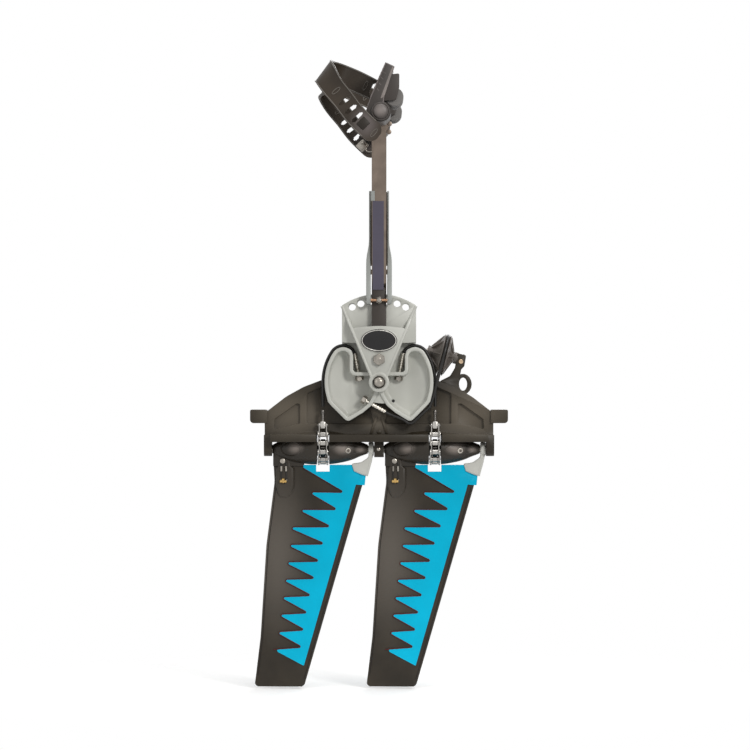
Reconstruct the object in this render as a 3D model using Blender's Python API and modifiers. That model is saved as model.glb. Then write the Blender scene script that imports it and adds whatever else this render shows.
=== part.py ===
"""Pedal fin drive for a kayak: two cranks, two rope drums, two chains and two swinging fins.

X points forward, Y across the boat and Z up. The origin is the middle of the plane on
which the spine's two end tabs sit in the hull. "Near" pieces lie at negative Y, "far"
pieces at positive Y. All sizes below are in millimetres and MM turns them into metres.
"""

import math

import bmesh
import bpy
from mathutils import Matrix, Vector

MM = 0.001
FIT = 0.3  # clearance between neighbouring pieces

# Drum shaft and fin axles
SHAFT_HEIGHT = 59.5
SHAFT_RADIUS = 6.0
SHAFT_LENGTH = 110.0
NUT_ACROSS = 16.6
NUT_THICKNESS = 5.7
BUSHING_WALL = 2.4
FIN_AXLE_DROP = 37.7
FIN_AXLE_RADIUS = 5.0

# Spine
TAB_REACH = 186.5
TAB_LENGTH = 24.8
TAB_HEIGHT = 19.5
TAB_HALF_WIDTH = 14.0
SPINE_HALF_WIDTH = 9.7
WEB_HALF_WIDTH = 4.5
DECK_HALF_WIDTH = 32.0
DECK_TOP = -16.0
DECK_BOTTOM = -27.0
DECK_WALL = 4.0
LEG_INSIDE = 155.0
LEG_THICKNESS = 11.5
LEG_BOTTOM = -47.8
CENTRE_BLOCK_LENGTH = 14.0
POST_HALF_WIDTH = 8.0

# Chain, sprocket and ropes
CHAIN_STATION = 81.0  # fore and aft distance of both chains from the drum shaft
CHAIN_PITCH = 12.7
CHAIN_WIDTH = 16.0
CHAIN_TOP = 3.0
CHAIN_HALF_THICKNESS = 4.8
SPROCKET_TEETH = 9
SPROCKET_WIDTH = 7.0
SPROCKET_RADIUS = CHAIN_PITCH / (2 * math.sin(math.pi / SPROCKET_TEETH))
CHAIN_STUD_TOP = 23.8
CHAIN_STUD_RADIUS = 2.6
ROPE_RADIUS = 2.25
IDLER_LANE = 28.5  # sideways distance of the idler rope, and so the idler's rope radius

# Drum
DRUM_RIM = CHAIN_STATION - ROPE_RADIUS - FIT
RIM_WALL = 5.5
DRUM_INSIDE = 10.5
DRUM_WEB = 13.3
DRUM_OUTSIDE = 33.5
BOSS_RADIUS = 13.3
BOSS_INSIDE = 7.0
BOSS_OUTSIDE = 46.0
LEDGE_HEIGHT = 14.5
LOBE_WALL = 37.1
LOBE_CORNER_ANGLE = math.radians(147.6)
LOBE_OUTER_CORNER = 17.7
LOBE_INNER_CORNER = 14.2
STUD_ANGLE = math.radians(11)
STUD_RADIUS = 2.9
STUD_THREAD = 2.0
STUD_LEAD = 5.0  # straight rope between the lobe's corner and its swage
STUD_LENGTH = 38.5
STUD_NUT_ACROSS = 8.4

# Crank adjuster on the drum
BOLT_HEIGHT = 32.5  # crank bolt above the drum shaft
BOLT_RADIUS = 4.0
BOLT_HEAD_ACROSS = 15.0
SECTOR_RADIUS = 94.4
SECTOR_HALF_WIDTH = 53.4
SECTOR_FOOT = 57.0
SECTOR_INSIDE = 26.0
SECTOR_THICKNESS = 4.0
HOLE_CIRCLE = 85.1
HOLE_RADIUS = 5.3
HOLE_STEP = math.radians(9)
HOLES = 7
SHIELD_INSIDE = 42.5
SHIELD_TOP = 80.5
WALL_THICKNESS = 3.0
BADGE_HALF_LENGTH = 25.8
BADGE_HALF_HEIGHT = 16.1
BADGE_THICKNESS = 1.2
BADGE_HEIGHT = 59.7

# Crank, latch and pedal
CRANK_WIDTH = 23.0
CRANK_THICKNESS = 10.0
CRANK_LANE = 36.5
CRANK_BEND = 190.0
PEDAL_HEIGHT = 438.3
PEDAL_FORWARD = 2.0
PEDAL_EYE_LANE = 73.0
PEDAL_INSIDE = 84.0
PEDAL_OUTSIDE = 162.0
SPINDLE_RADIUS = 6.0
CAP_RADIUS = 13.0
CAP_DEPTH = 6.5
LATCH_PIVOT = 219.0
LATCH_PIN_RADIUS = 4.6
LATCH_STUB_RADIUS = 2.5
FLANK_THICKNESS = 2.4
ROLLER_RADIUS = 13.4
STRAP_THICKNESS = 3.0
STRAP_HALF_WIDTH = 16.0

# Idler pulley
IDLER_TILT = math.radians(14.5)
IDLER_REACH = 61.5
IDLER_RIM = 30.0
IDLER_HUB_RADIUS = 8.7
IDLER_AXLE_RADIUS = 4.0

# Fin
MAST_RADIUS = 3.0
MAST_INSET = 4.9
FIN_TOP = -63.0
FIN_BOTTOM = -382.0
MAST_BOTTOM = FIN_BOTTOM + 42.0
FIN_NOSE = 5.0
FIN_TAIL = 1.0
BAND_TEETH = 10
FAIRING_HALF = 5.5
SCREW_RADIUS = 4.3
FIN_LEAD_TOP = Vector((57.0, -90.4))
FIN_LEAD_BOTTOM = Vector((-25.7, FIN_BOTTOM + 5.8))
FIN_BEND = FIN_BOTTOM + 72.5  # where the trailing edge turns toward its tip
BAND_END = FIN_BOTTOM + 29.7

FIN_AXIS_Z = -FIN_AXLE_DROP
LATCH_PIN_HEIGHT = SHAFT_HEIGHT + BOLT_HEIGHT + HOLE_CIRCLE

# Hub on a fin axle: outline along the axle as (distance from the chain, radius)
HUB_SLOT = FIT + CHAIN_WIDTH / 2 + 0.5
HUB_CORE = 10.0
HUB_PROFILE = (
    (-73.6, 6.4),
    (-58.0, 13.6),
    (-34.0, 20.5),
    (-HUB_SLOT, 22.5),
    (HUB_SLOT, 22.3),
    (34.0, 18.2),
    (52.0, 11.6),
    (65.2, 6.6),
)
HUB_END = HUB_PROFILE[-1][0]
COLLAR_RADIUS = 10.2
COLLAR_END = LEG_INSIDE - CHAIN_STATION - 0.4
TUNNEL_GAP = 2.0


# ---------------------------------------------------------------- scene and material helpers


def clear_scene():
    for old in list(bpy.data.objects):
        bpy.data.objects.remove(old, do_unlink=True)


def new_collection(name, hidden=False):
    collection = bpy.data.collections.new(name)
    bpy.context.scene.collection.children.link(collection)
    collection.hide_render = hidden
    return collection


def new_material(name, colour, roughness, metallic=0.0):
    material = bpy.data.materials.new(name)
    material.use_nodes = True
    shader = material.node_tree.nodes["Principled BSDF"]
    shader.inputs["Base Color"].default_value = (*colour, 1)
    shader.inputs["Roughness"].default_value = roughness
    shader.inputs["Metallic"].default_value = metallic
    return material


clear_scene()
PARTS = new_collection("pedal_fin_drive")
CUTTERS = new_collection("cutters", hidden=True)

BLACK_CASTING = new_material("black_casting", (0.045, 0.038, 0.033), 0.5)
GREY_CASTING = new_material("grey_casting", (0.5, 0.53, 0.5), 0.45)
GREY_MAST = new_material("grey_mast_base", (0.36, 0.37, 0.35), 0.5)
STEEL = new_material("stainless_steel", (0.62, 0.6, 0.57), 0.25, 1.0)
BRASS = new_material("brass", (0.72, 0.5, 0.18), 0.3, 1.0)
BLACK_ROPE = new_material("coated_rope", (0.012, 0.012, 0.012), 0.4)
DARK_PLASTIC = new_material("dark_plastic", (0.03, 0.028, 0.027), 0.45)
BRONZE_TUBE = new_material("anodised_crank", (0.18, 0.145, 0.12), 0.4, 0.6)
BUSHING_PLASTIC = new_material("bushing_plastic", (0.7, 0.7, 0.66), 0.5)
FIN_RUBBER = new_material("fin_rubber", (0.05, 0.043, 0.038), 0.6)
BLUE_BAND = new_material("blue_stiffener", (0.0, 0.45, 0.68), 0.45)
STRAP_RUBBER = new_material("strap_rubber", (0.06, 0.054, 0.052), 0.55)


# ---------------------------------------------------------------- modelling helpers


def add_object(name, mesh):
    made = bpy.data.objects.new(name, mesh)
    PARTS.objects.link(made)
    return made


def add_bmesh(name, bm):
    bmesh.ops.recalc_face_normals(bm, faces=bm.faces)
    mesh = bpy.data.meshes.new(name)
    bm.to_mesh(mesh)
    bm.free()
    return add_object(name, mesh)


def meshed(made):
    """The curve or modified object turned into a plain welded mesh object of the same name."""
    graph = bpy.context.evaluated_depsgraph_get()
    mesh = bpy.data.meshes.new_from_object(made.evaluated_get(graph))
    bm = bmesh.new()
    bm.from_mesh(mesh)
    bmesh.ops.remove_doubles(bm, verts=bm.verts, dist=0.001 * MM)
    bm.to_mesh(mesh)
    bm.free()
    name = made.name
    place = made.matrix_world.copy()
    bpy.data.objects.remove(made)
    result = add_object(name, mesh)
    result.matrix_world = place
    return result


def box(name, low, high):
    bm = bmesh.new()
    bmesh.ops.create_cube(bm, size=1)
    low, high = Vector(low) * MM, Vector(high) * MM
    bmesh.ops.scale(bm, vec=high - low, verts=bm.verts)
    bmesh.ops.translate(bm, vec=(low + high) / 2, verts=bm.verts)
    return add_bmesh(name, bm)


def rod(name, start, end, radius, sides=20, end_radius=None):
    """A closed round bar from start to end. Six sides make a hexagon, radius over its corners."""
    start, end = Vector(start) * MM, Vector(end) * MM
    along = end - start
    last = radius if end_radius is None else end_radius
    bm = bmesh.new()
    bmesh.ops.create_cone(
        bm,
        cap_ends=True,
        segments=sides,
        radius1=radius * MM,
        radius2=last * MM,
        depth=along.length,
    )
    turn = along.to_track_quat("Z", "Y").to_matrix().to_4x4()
    bmesh.ops.transform(bm, matrix=Matrix.Translation((start + end) / 2) @ turn, verts=bm.verts)
    return add_bmesh(name, bm)


def plate(name, outline, low, high, plane="XZ"):
    """A flat outline in the XZ or YZ plane, made thick from low to high across that plane."""
    curve = bpy.data.curves.new(name, "CURVE")
    curve.dimensions = "2D"
    curve.fill_mode = "BOTH"
    curve.extrude = (high - low) / 2 * MM
    spline = curve.splines.new("POLY")
    spline.points.add(len(outline) - 1)
    for point, place in zip(spline.points, outline):
        point.co = (place[0] * MM, place[1] * MM, 0, 1)
    spline.use_cyclic_u = True
    made = add_object(name, curve)
    middle = (low + high) / 2 * MM
    stand = Matrix.Rotation(math.pi / 2, 4, "X")
    if plane == "XZ":
        made.matrix_world = Matrix.Translation((0, middle, 0)) @ stand
    else:
        made.matrix_world = Matrix.Translation((middle, 0, 0)) @ Matrix.Rotation(math.pi / 2, 4, "Z") @ stand
    return meshed(made)


def turned(name, profile, origin, direction, sides=20):
    """A closed profile of (radius, height) points spun about an axis from origin along direction."""
    mesh = bpy.data.meshes.new(name)
    count = len(profile)
    edges = [(i, (i + 1) % count) for i in range(count)]
    mesh.from_pydata([(r * MM, 0, h * MM) for r, h in profile], edges, [])
    made = add_object(name, mesh)
    turn = Vector(direction).to_track_quat("Z", "Y").to_matrix().to_4x4()
    made.matrix_world = Matrix.Translation(Vector(origin) * MM) @ turn
    screw = made.modifiers.new("spin", "SCREW")
    screw.steps = screw.render_steps = sides
    screw.use_merge_vertices = True
    screw.merge_threshold = 0.00001
    made = meshed(made)
    bm = bmesh.new()
    bm.from_mesh(made.data)
    bmesh.ops.recalc_face_normals(bm, faces=bm.faces)
    bm.to_mesh(made.data)
    bm.free()
    return made


def tube(name, points, radius):
    """A round rope through these points."""
    curve = bpy.data.curves.new(name, "CURVE")
    curve.dimensions = "3D"
    curve.bevel_depth = radius * MM
    curve.bevel_resolution = 2
    curve.use_fill_caps = True
    spline = curve.splines.new("POLY")
    spline.points.add(len(points) - 1)
    for point, place in zip(spline.points, points):
        point.co = (*(Vector(place) * MM), 1)
    return add_object(name, curve)


def hull(name, points):
    bm = bmesh.new()
    for point in points:
        bm.verts.new(Vector(point) * MM)
    bmesh.ops.convex_hull(bm, input=bm.verts)
    return add_bmesh(name, bm)


def loft(name, rings):
    """A closed skin over rings of points that all have the same count."""
    bm = bmesh.new()
    rows = [[bm.verts.new(Vector(point) * MM) for point in ring] for ring in rings]
    count = len(rows[0])
    for row, following in zip(rows, rows[1:]):
        for i in range(count):
            j = (i + 1) % count
            bm.faces.new((row[i], row[j], following[j], following[i]))
    bm.faces.new(rows[0])
    bm.faces.new(rows[-1])
    return add_bmesh(name, bm)


def combine(target, others, operation):
    for other in others:
        PARTS.objects.unlink(other)
        CUTTERS.objects.link(other)
        other.hide_render = True
        other.display_type = "WIRE"
        change = target.modifiers.new(other.name, "BOOLEAN")
        change.operation = operation
        change.solver = "EXACT"
        change.object = other
    return target


def cut(target, *cutters):
    return combine(target, cutters, "DIFFERENCE")


def join(target, *others):
    return combine(target, others, "UNION")


def keep_inside(target, limit):
    return combine(target, [limit], "INTERSECT")


def finish(made, material):
    made.data.materials.clear()
    made.data.materials.append(material)
    if made.type == "MESH":
        made.data.shade_smooth()
        made.data.set_sharp_from_angle(angle=math.radians(35))
    return made


def span(side, inside, outside):
    """The lateral range from inside to outside, measured outward on the near or far side."""
    return sorted((side * inside, side * outside))


def rounded(corners, steps=4):
    """An outline through (x, z, radius) corners, each rounded to its own radius."""
    points = []
    count = len(corners)
    for i, (x, z, radius) in enumerate(corners):
        here = Vector((x, z))
        if not radius:
            points.append(here)
            continue
        back = (Vector(corners[i - 1][:2]) - here).normalized()
        on = (Vector(corners[(i + 1) % count][:2]) - here).normalized()
        half = back.angle(on) / 2
        centre = here + (back + on).normalized() * radius / math.sin(half)
        start = here + back * radius / math.tan(half) - centre
        end = here + on * radius / math.tan(half) - centre
        for k in range(steps + 1):
            points.append(centre + start.lerp(end, k / steps).normalized() * radius)
    return points


def arc(centre, radius, first, last, steps):
    cx, cz = centre
    angles = [first + (last - first) * k / steps for k in range(steps + 1)]
    return [Vector((cx + radius * math.cos(a), cz + radius * math.sin(a))) for a in angles]


def inset(outline, distance):
    """The closed outline moved inward by a distance, corner by corner."""
    points = [Vector(p) for p in outline]
    count = len(points)
    area = sum(points[i - 1].x * points[i].y - points[i].x * points[i - 1].y for i in range(count))
    way = 1 if area > 0 else -1
    moved = []
    for i, here in enumerate(points):
        before = (here - points[i - 1]).normalized()
        after = (points[(i + 1) % count] - here).normalized()
        normal = Vector((-before.y - after.y, before.x + after.x)) * way
        scale = distance / (1 + before.dot(after))
        moved.append(here + normal * scale)
    return moved


def mirrored(points):
    return [Vector((-p[0], p[1])) for p in reversed(points)]


def raised(points, height):
    return [(p[0], p[1] + height) for p in points]


# ---------------------------------------------------------------- spine and what it carries

def tunnel_profile(extra):
    """Solid of revolution around a hub, wider than it by extra and never under the mast collar."""
    least = COLLAR_RADIUS + extra
    outer = [(max(radius + extra, least), along) for along, radius in HUB_PROFILE]
    ends = [(least, COLLAR_END + 2 * FIT)]
    low = -COLLAR_END - 2 * FIT
    return [(0, low), (least, low), *outer, *ends, (0, COLLAR_END + 2 * FIT)]


def spine_outline():
    """Side outline of the spine above its deck: end tabs, arched back and flat foot."""
    tab_root = TAB_REACH - TAB_LENGTH
    leg_outside = LEG_INSIDE + LEG_THICKNESS - 1
    half = [
        (leg_outside, DECK_BOTTOM, 0),
        (leg_outside, 0.5, 0),
        (TAB_REACH - 3, 2, 0),
        (TAB_REACH - 3, TAB_HEIGHT - 2.5, 0),
        (tab_root, TAB_HEIGHT - 2, 3),
        (134.3, 38.6, 60),
        (109.2, 52.5, 60),
        (85.6, 61.5, 30),
        (30.0, SHAFT_HEIGHT + 20, 15),
    ]
    return rounded(half + [(-x, z, r) for x, z, r in reversed(half)], 3)


def build_spine():
    spine = plate("spine", spine_outline(), -SPINE_HALF_WIDTH, SPINE_HALF_WIDTH)
    domes = []
    tunnels = []
    legs = []
    seats = []
    pockets = []
    notches = []
    for end in (-1, 1):
        origin = (end * CHAIN_STATION, 0, FIN_AXIS_Z)
        domes.append(turned("dome", tunnel_profile(TUNNEL_GAP + DECK_WALL), origin, (1, 0, 0)))
        tunnels.append(turned("tunnel", tunnel_profile(TUNNEL_GAP), origin, (1, 0, 0)))
        leg_x = sorted((end * LEG_INSIDE, end * (LEG_INSIDE + LEG_THICKNESS)))
        leg_side = rounded(
            [(-16, DECK_TOP - 1, 0), (16, DECK_TOP - 1, 0), (16, LEG_BOTTOM, 9), (-16, LEG_BOTTOM, 9)]
        )
        legs.append(plate("leg", leg_side, *leg_x, plane="YZ"))
        tab_x = sorted((end * (TAB_REACH - TAB_LENGTH), end * TAB_REACH))
        tab = [(tab_x[0], 0, 0), (tab_x[1], 0, 0), (tab_x[1], TAB_HEIGHT, 2), (tab_x[0], TAB_HEIGHT, 2)]
        tab[0 if end < 0 else 1] = (end * TAB_REACH, 0, 5)
        seats.append(plate("tab", rounded(tab), -TAB_HALF_WIDTH, TAB_HALF_WIDTH))
        outer_pocket = rounded(
            [
                (end * 151.8, -9.0, 2),
                (end * 150.8, 5.9, 2),
                (end * 118.5, 28.8, 2),
                (end * 114.3, 27.3, 1),
                (end * 114.3, -0.4, 2),
            ],
            2,
        )
        inner_pocket = rounded(
            [
                (end * 104.4, -1.0, 2),
                (end * 104.4, 43.0, 3),
                (end * 84.0, 51.5, 3),
                (end * 28.0, 68.0, 3),
                (end * 19.0, 40.0, 3),
                (end * 7.0, -1.0, 3),
            ],
            2,
        )
        for side in (-1, 1):
            for outline in (outer_pocket, inner_pocket):
                pockets.append(plate("pocket", outline, *span(side, WEB_HALF_WIDTH, SPINE_HALF_WIDTH + 1)))
            low, high = span(side, SPROCKET_RADIUS - CHAIN_HALF_THICKNESS - FIT, DECK_HALF_WIDTH + 1)
            middle = end * CHAIN_STATION
            notches.append(
                box("chain_notch", (middle - HUB_SLOT - 1, low, FIN_AXIS_Z), (middle + HUB_SLOT + 1, high, 20))
            )
    deck = box(
        "deck",
        (-LEG_INSIDE - 2, -DECK_HALF_WIDTH, DECK_BOTTOM - 0.5),
        (LEG_INSIDE + 2, DECK_HALF_WIDTH, DECK_TOP),
    )
    below = box("below_deck", (-TAB_REACH, -60, -120), (TAB_REACH, 60, DECK_BOTTOM))
    post = rounded(
        [
            (84.0, 45.0, 0),
            (88.5, 61.0, 6),
            (103.0, 68.2, 6),
            (110.0, 79.8, 4),
            (113.8, 101.2, 2),
            (126.2, 98.0, 2),
            (123.6, 82.5, 2),
            (119.0, 77.5, 2),
            (116.6, 64.4, 4),
            (124.0, 40.0, 0),
        ]
    )
    post = plate("idler_post", post, -POST_HALF_WIDTH, POST_HALF_WIDTH)
    ring = [Vector((121.8 + 12.6 * math.cos(a), 56.4 + 15.0 * math.sin(a))) for a in ring_angles(18)]
    eye = [Vector((121.8 + 6.0 * math.cos(a), 56.4 + 9.6 * math.sin(a))) for a in ring_angles(14)]
    ring = plate("leash_ring", ring, -4, 4)
    eye = plate("leash_eye", eye, -POST_HALF_WIDTH - 1, POST_HALF_WIDTH + 1)
    boss = rod("shaft_boss", at_shaft(-BOSS_INSIDE + FIT), at_shaft(BOSS_INSIDE - FIT), BOSS_RADIUS + 5)
    recesses = [
        rod("boss_room", at_shaft(side * (BOSS_INSIDE - FIT)), at_shaft(side * 20), BOSS_RADIUS + 4)
        for side in (-1, 1)
    ]
    join(spine, deck, *domes)
    cut(spine, below, *tunnels)
    join(spine, *seats, *legs, post, ring)
    cut(spine, *pockets)
    join(spine, boss)
    cut(spine, *recesses, *notches, eye)
    bore = rod("shaft_bore", at_shaft(-20), at_shaft(20), SHAFT_RADIUS + FIT)
    reach = LEG_INSIDE + LEG_THICKNESS - 1.5
    axles = rod("axle_bore", (-reach, 0, FIN_AXIS_Z), (reach, 0, FIN_AXIS_Z), FIN_AXLE_RADIUS + FIT)
    idler_start, idler_end = idler_axle_ends(FIT)
    idler = rod("idler_bore", idler_start, idler_end, IDLER_AXLE_RADIUS + FIT, 20)
    cut(spine, bore, axles, idler)
    finish(spine, BLACK_CASTING)


def ring_angles(count):
    return [2 * math.pi * k / count for k in range(count)]


def at_shaft(lateral, forward=0.0, up=0.0):
    """A point given by its lateral place and its offset from the drum shaft's axis."""
    return Vector((forward, lateral, SHAFT_HEIGHT + up))


def idler_centre():
    """Middle of the idler: on the tangent that the idler rope takes from the drum's rim."""
    tangent = CHAIN_STATION * math.cos(IDLER_TILT), -CHAIN_STATION * math.sin(IDLER_TILT)
    x = tangent[0] + IDLER_REACH * math.sin(IDLER_TILT)
    z = tangent[1] + IDLER_REACH * math.cos(IDLER_TILT)
    return at_shaft(0, x, z)


def idler_direction():
    return Vector((math.cos(IDLER_TILT), 0, -math.sin(IDLER_TILT)))


def idler_axle_ends(extra=0.0):
    middle = idler_centre()
    along = idler_direction()
    return middle - along * (26 + extra), middle + along * (29 + extra)


def build_fixed_hardware():
    half = CENTRE_BLOCK_LENGTH / 2
    block = box("centre_bearing_block", (-half, -12, -49.5), (half, 12, DECK_BOTTOM - FIT))
    cut(block, rod("bore", (-half - 5, 0, FIN_AXIS_Z), (half + 5, 0, FIN_AXIS_Z), FIN_AXLE_RADIUS + FIT))
    finish(block, BLACK_CASTING)
    reach = LEG_INSIDE + LEG_THICKNESS - 1.8
    for name, end in (("rear", -1), ("front", 1)):
        start, stop = (end * 0.5, 0, FIN_AXIS_Z), (end * reach, 0, FIN_AXIS_Z)
        finish(rod(name + "_fin_axle", start, stop, FIN_AXLE_RADIUS), STEEL)
    shaft = rod("main_shaft", at_shaft(-SHAFT_LENGTH / 2), at_shaft(SHAFT_LENGTH / 2), SHAFT_RADIUS)
    finish(shaft, STEEL)
    for name, side in (("near", -1), ("far", 1)):
        start = at_shaft(side * (BOSS_OUTSIDE + FIT))
        stop = at_shaft(side * (BOSS_OUTSIDE + FIT + NUT_THICKNESS))
        nut = rod("shaft_nut_" + name, start, stop, NUT_ACROSS / math.sqrt(3), 6)
        cut(nut, rod("nut_bore", at_shaft(side * 40), at_shaft(side * 60), SHAFT_RADIUS + FIT))
        finish(nut, STEEL)
    finish(rod("idler_axle", *idler_axle_ends(), IDLER_AXLE_RADIUS, 20), STEEL)


def build_idler_pulley():
    groove = IDLER_LANE - ROPE_RADIUS - FIT
    bore = IDLER_AXLE_RADIUS + FIT
    profile = [
        (bore, -24.5),
        (IDLER_HUB_RADIUS, -24.5),
        (IDLER_HUB_RADIUS, -13.0),
        (IDLER_RIM - 2.0, -5.0),
        (IDLER_RIM, -4.0),
        (groove, -1.6),
        (groove, 1.6),
        (IDLER_RIM, 4.0),
        (IDLER_RIM - 2.0, 5.0),
        (IDLER_HUB_RADIUS, 11.0),
        (IDLER_HUB_RADIUS, 15.0),
        (bore, 15.0),
    ]
    finish(turned("idler_pulley", profile, idler_centre(), idler_direction(), 24), DARK_PLASTIC)


# ---------------------------------------------------------------- drums


def lobe_corner_centres():
    """Centres of the rear lobe's two top corner arcs, from the drum shaft."""
    reach = DRUM_RIM - LOBE_OUTER_CORNER
    outer = (reach * math.cos(LOBE_CORNER_ANGLE), reach * math.sin(LOBE_CORNER_ANGLE))
    top = outer[1] + LOBE_OUTER_CORNER
    return outer, (outer[0], top - LOBE_INNER_CORNER)


def rear_rim(grow=0.0, first=0.0):
    """The rear lobe's edge from its inner wall over the top and down the rim, moved out by grow."""
    outer, inner = lobe_corner_centres()
    points = arc(inner, LOBE_INNER_CORNER + grow, first, math.pi / 2, 4)
    points += arc(outer, LOBE_OUTER_CORNER + grow, math.pi / 2, LOBE_CORNER_ANGLE, 3)[1:]
    return points


def rear_lobe_edge():
    """The rear lobe's outline from the ledge, over the top and round to the bottom tip."""
    edge = [Vector((-LOBE_WALL, LEDGE_HEIGHT))]
    edge += rear_rim()
    edge += arc((0, 0), DRUM_RIM, LOBE_CORNER_ANGLE, math.radians(204), 7)[1:]
    tip = rounded([(-71.7, -31.9, 0), (-44.7, -57.5, 7), (-16.0, -36.0, 0)], 3)
    return edge + tip[1:]


def build_drum(name, side):
    edge = rear_lobe_edge()
    outline = edge + [Vector((0, -25))] + mirrored(edge)
    drum = plate("drum_" + name, raised(outline, SHAFT_HEIGHT), *span(side, DRUM_INSIDE, DRUM_OUTSIDE))
    lobe = edge + [Vector((-8, -28)), Vector((-8, LEDGE_HEIGHT))]
    floor = inset(lobe, RIM_WALL)
    dishes = []
    for shape in (floor, mirrored(floor)):
        dish = plate("dish", raised(shape, SHAFT_HEIGHT), *span(side, DRUM_WEB, DRUM_OUTSIDE + 1))
        dishes.append(dish)
    boss = rod("boss", at_shaft(side * BOSS_INSIDE), at_shaft(side * BOSS_OUTSIDE), BOSS_RADIUS)
    join(cut(drum, *dishes), boss, *build_adjuster(side))
    holes = [rod("bore", at_shaft(0), at_shaft(side * 60), SHAFT_RADIUS + FIT + BUSHING_WALL + FIT)]
    bolt_end = at_shaft(side * 60, 0, BOLT_HEIGHT)
    bolt_start = at_shaft(side * (SECTOR_INSIDE - 5), 0, BOLT_HEIGHT)
    holes.append(rod("bolt_hole", bolt_start, bolt_end, BOLT_RADIUS + FIT, 12))
    for k in range(HOLES):
        angle = (k - (HOLES - 1) / 2) * HOLE_STEP
        x, z = HOLE_CIRCLE * math.sin(angle), BOLT_HEIGHT + HOLE_CIRCLE * math.cos(angle)
        start, stop = at_shaft(side * (SECTOR_INSIDE - 3), x, z), at_shaft(side * 40, x, z)
        holes.append(rod("pin_hole", start, stop, HOLE_RADIUS, 12))
    for end in (-1, 1):
        start, along = stud_line(side, end)
        holes.append(rod("stud_hole", start + along * 18, start + along * 33, STUD_THREAD + FIT, 8))
    start, stop = idler_terminal_line(side)
    way = (stop - start).normalized()
    holes.append(rod("terminal_hole", start - way * 11, stop, STUD_RADIUS + FIT, 10))
    cut(drum, *holes)
    finish(drum, GREY_CASTING)


def wall_line(z):
    """Half width between the adjuster's two slanting walls at a height above the drum shaft."""
    return 11.3 + 0.451 * (z - 14.8)


def build_adjuster(side):
    """The sector plate with its pin holes, the web behind it, the slanting walls and the shield."""
    centre = (0, BOLT_HEIGHT)
    swing = math.asin(SECTOR_HALF_WIDTH / SECTOR_RADIUS)
    crown = arc(centre, SECTOR_RADIUS, math.pi / 2 - swing, math.pi / 2 + swing, 10)
    low = 5.0
    bite = WALL_THICKNESS / 2
    left = [(-SECTOR_HALF_WIDTH, SECTOR_FOOT), (-wall_line(SECTOR_FOOT) - bite, SECTOR_FOOT - 1)]
    left.append((-wall_line(low) - bite, low))
    outline = crown + [Vector(p) for p in left] + mirrored([Vector(p) for p in left])
    sector_outside = SECTOR_INSIDE + SECTOR_THICKNESS
    sector = plate("sector", raised(outline, SHAFT_HEIGHT), *span(side, SECTOR_INSIDE, sector_outside))
    shield = [(-wall_line(low) - bite, low), (-wall_line(78) - bite, 77.5), (-20, SHIELD_TOP)]
    shield = [Vector(p) for p in shield]
    shield = plate(
        "shield",
        raised(shield + mirrored(shield), SHAFT_HEIGHT),
        *span(side, SHIELD_INSIDE, BOSS_OUTSIDE - 0.3),
    )
    walls = []
    for way in (-1, 1):
        points = []
        top = BOSS_OUTSIDE - 0.1
        for z, outside in ((low - 1, top), (78, top), (91, sector_outside + 0.5)):
            for depth in (SECTOR_INSIDE + 0.5, outside):
                for thickness in (0, WALL_THICKNESS):
                    x = way * (min(wall_line(z), SECTOR_HALF_WIDTH - WALL_THICKNESS) + thickness)
                    points.append(at_shaft(side * depth, x, z))
        walls.append(hull("adjuster_wall", points))
    across, foot, head = LOBE_WALL + 2, LEDGE_HEIGHT - 1.5, SECTOR_FOOT - 9
    web = raised([(-across, foot), (across, foot), (across, head), (-across, head)], SHAFT_HEIGHT)
    web = plate("web", web, *span(side, DRUM_INSIDE + 0.5, DRUM_WEB - 0.3))
    return [sector, shield, web, *walls]


def stud_line(side, end):
    """Where a chain rope enters its stud, and the stud's direction, down towards the ledge."""
    start = rear_rim(ROPE_RADIUS + FIT, STUD_ANGLE)[0]
    x = start.x if end < 0 else -start.x
    along = Vector((-end * math.sin(STUD_ANGLE), 0, -math.cos(STUD_ANGLE)))
    return at_shaft(side * SPROCKET_RADIUS, x, start.y), along


def idler_terminal_line(side):
    return at_shaft(side * IDLER_LANE, -11.5, -31.2), at_shaft(side * IDLER_LANE, 9.4, -42.9)


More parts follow.
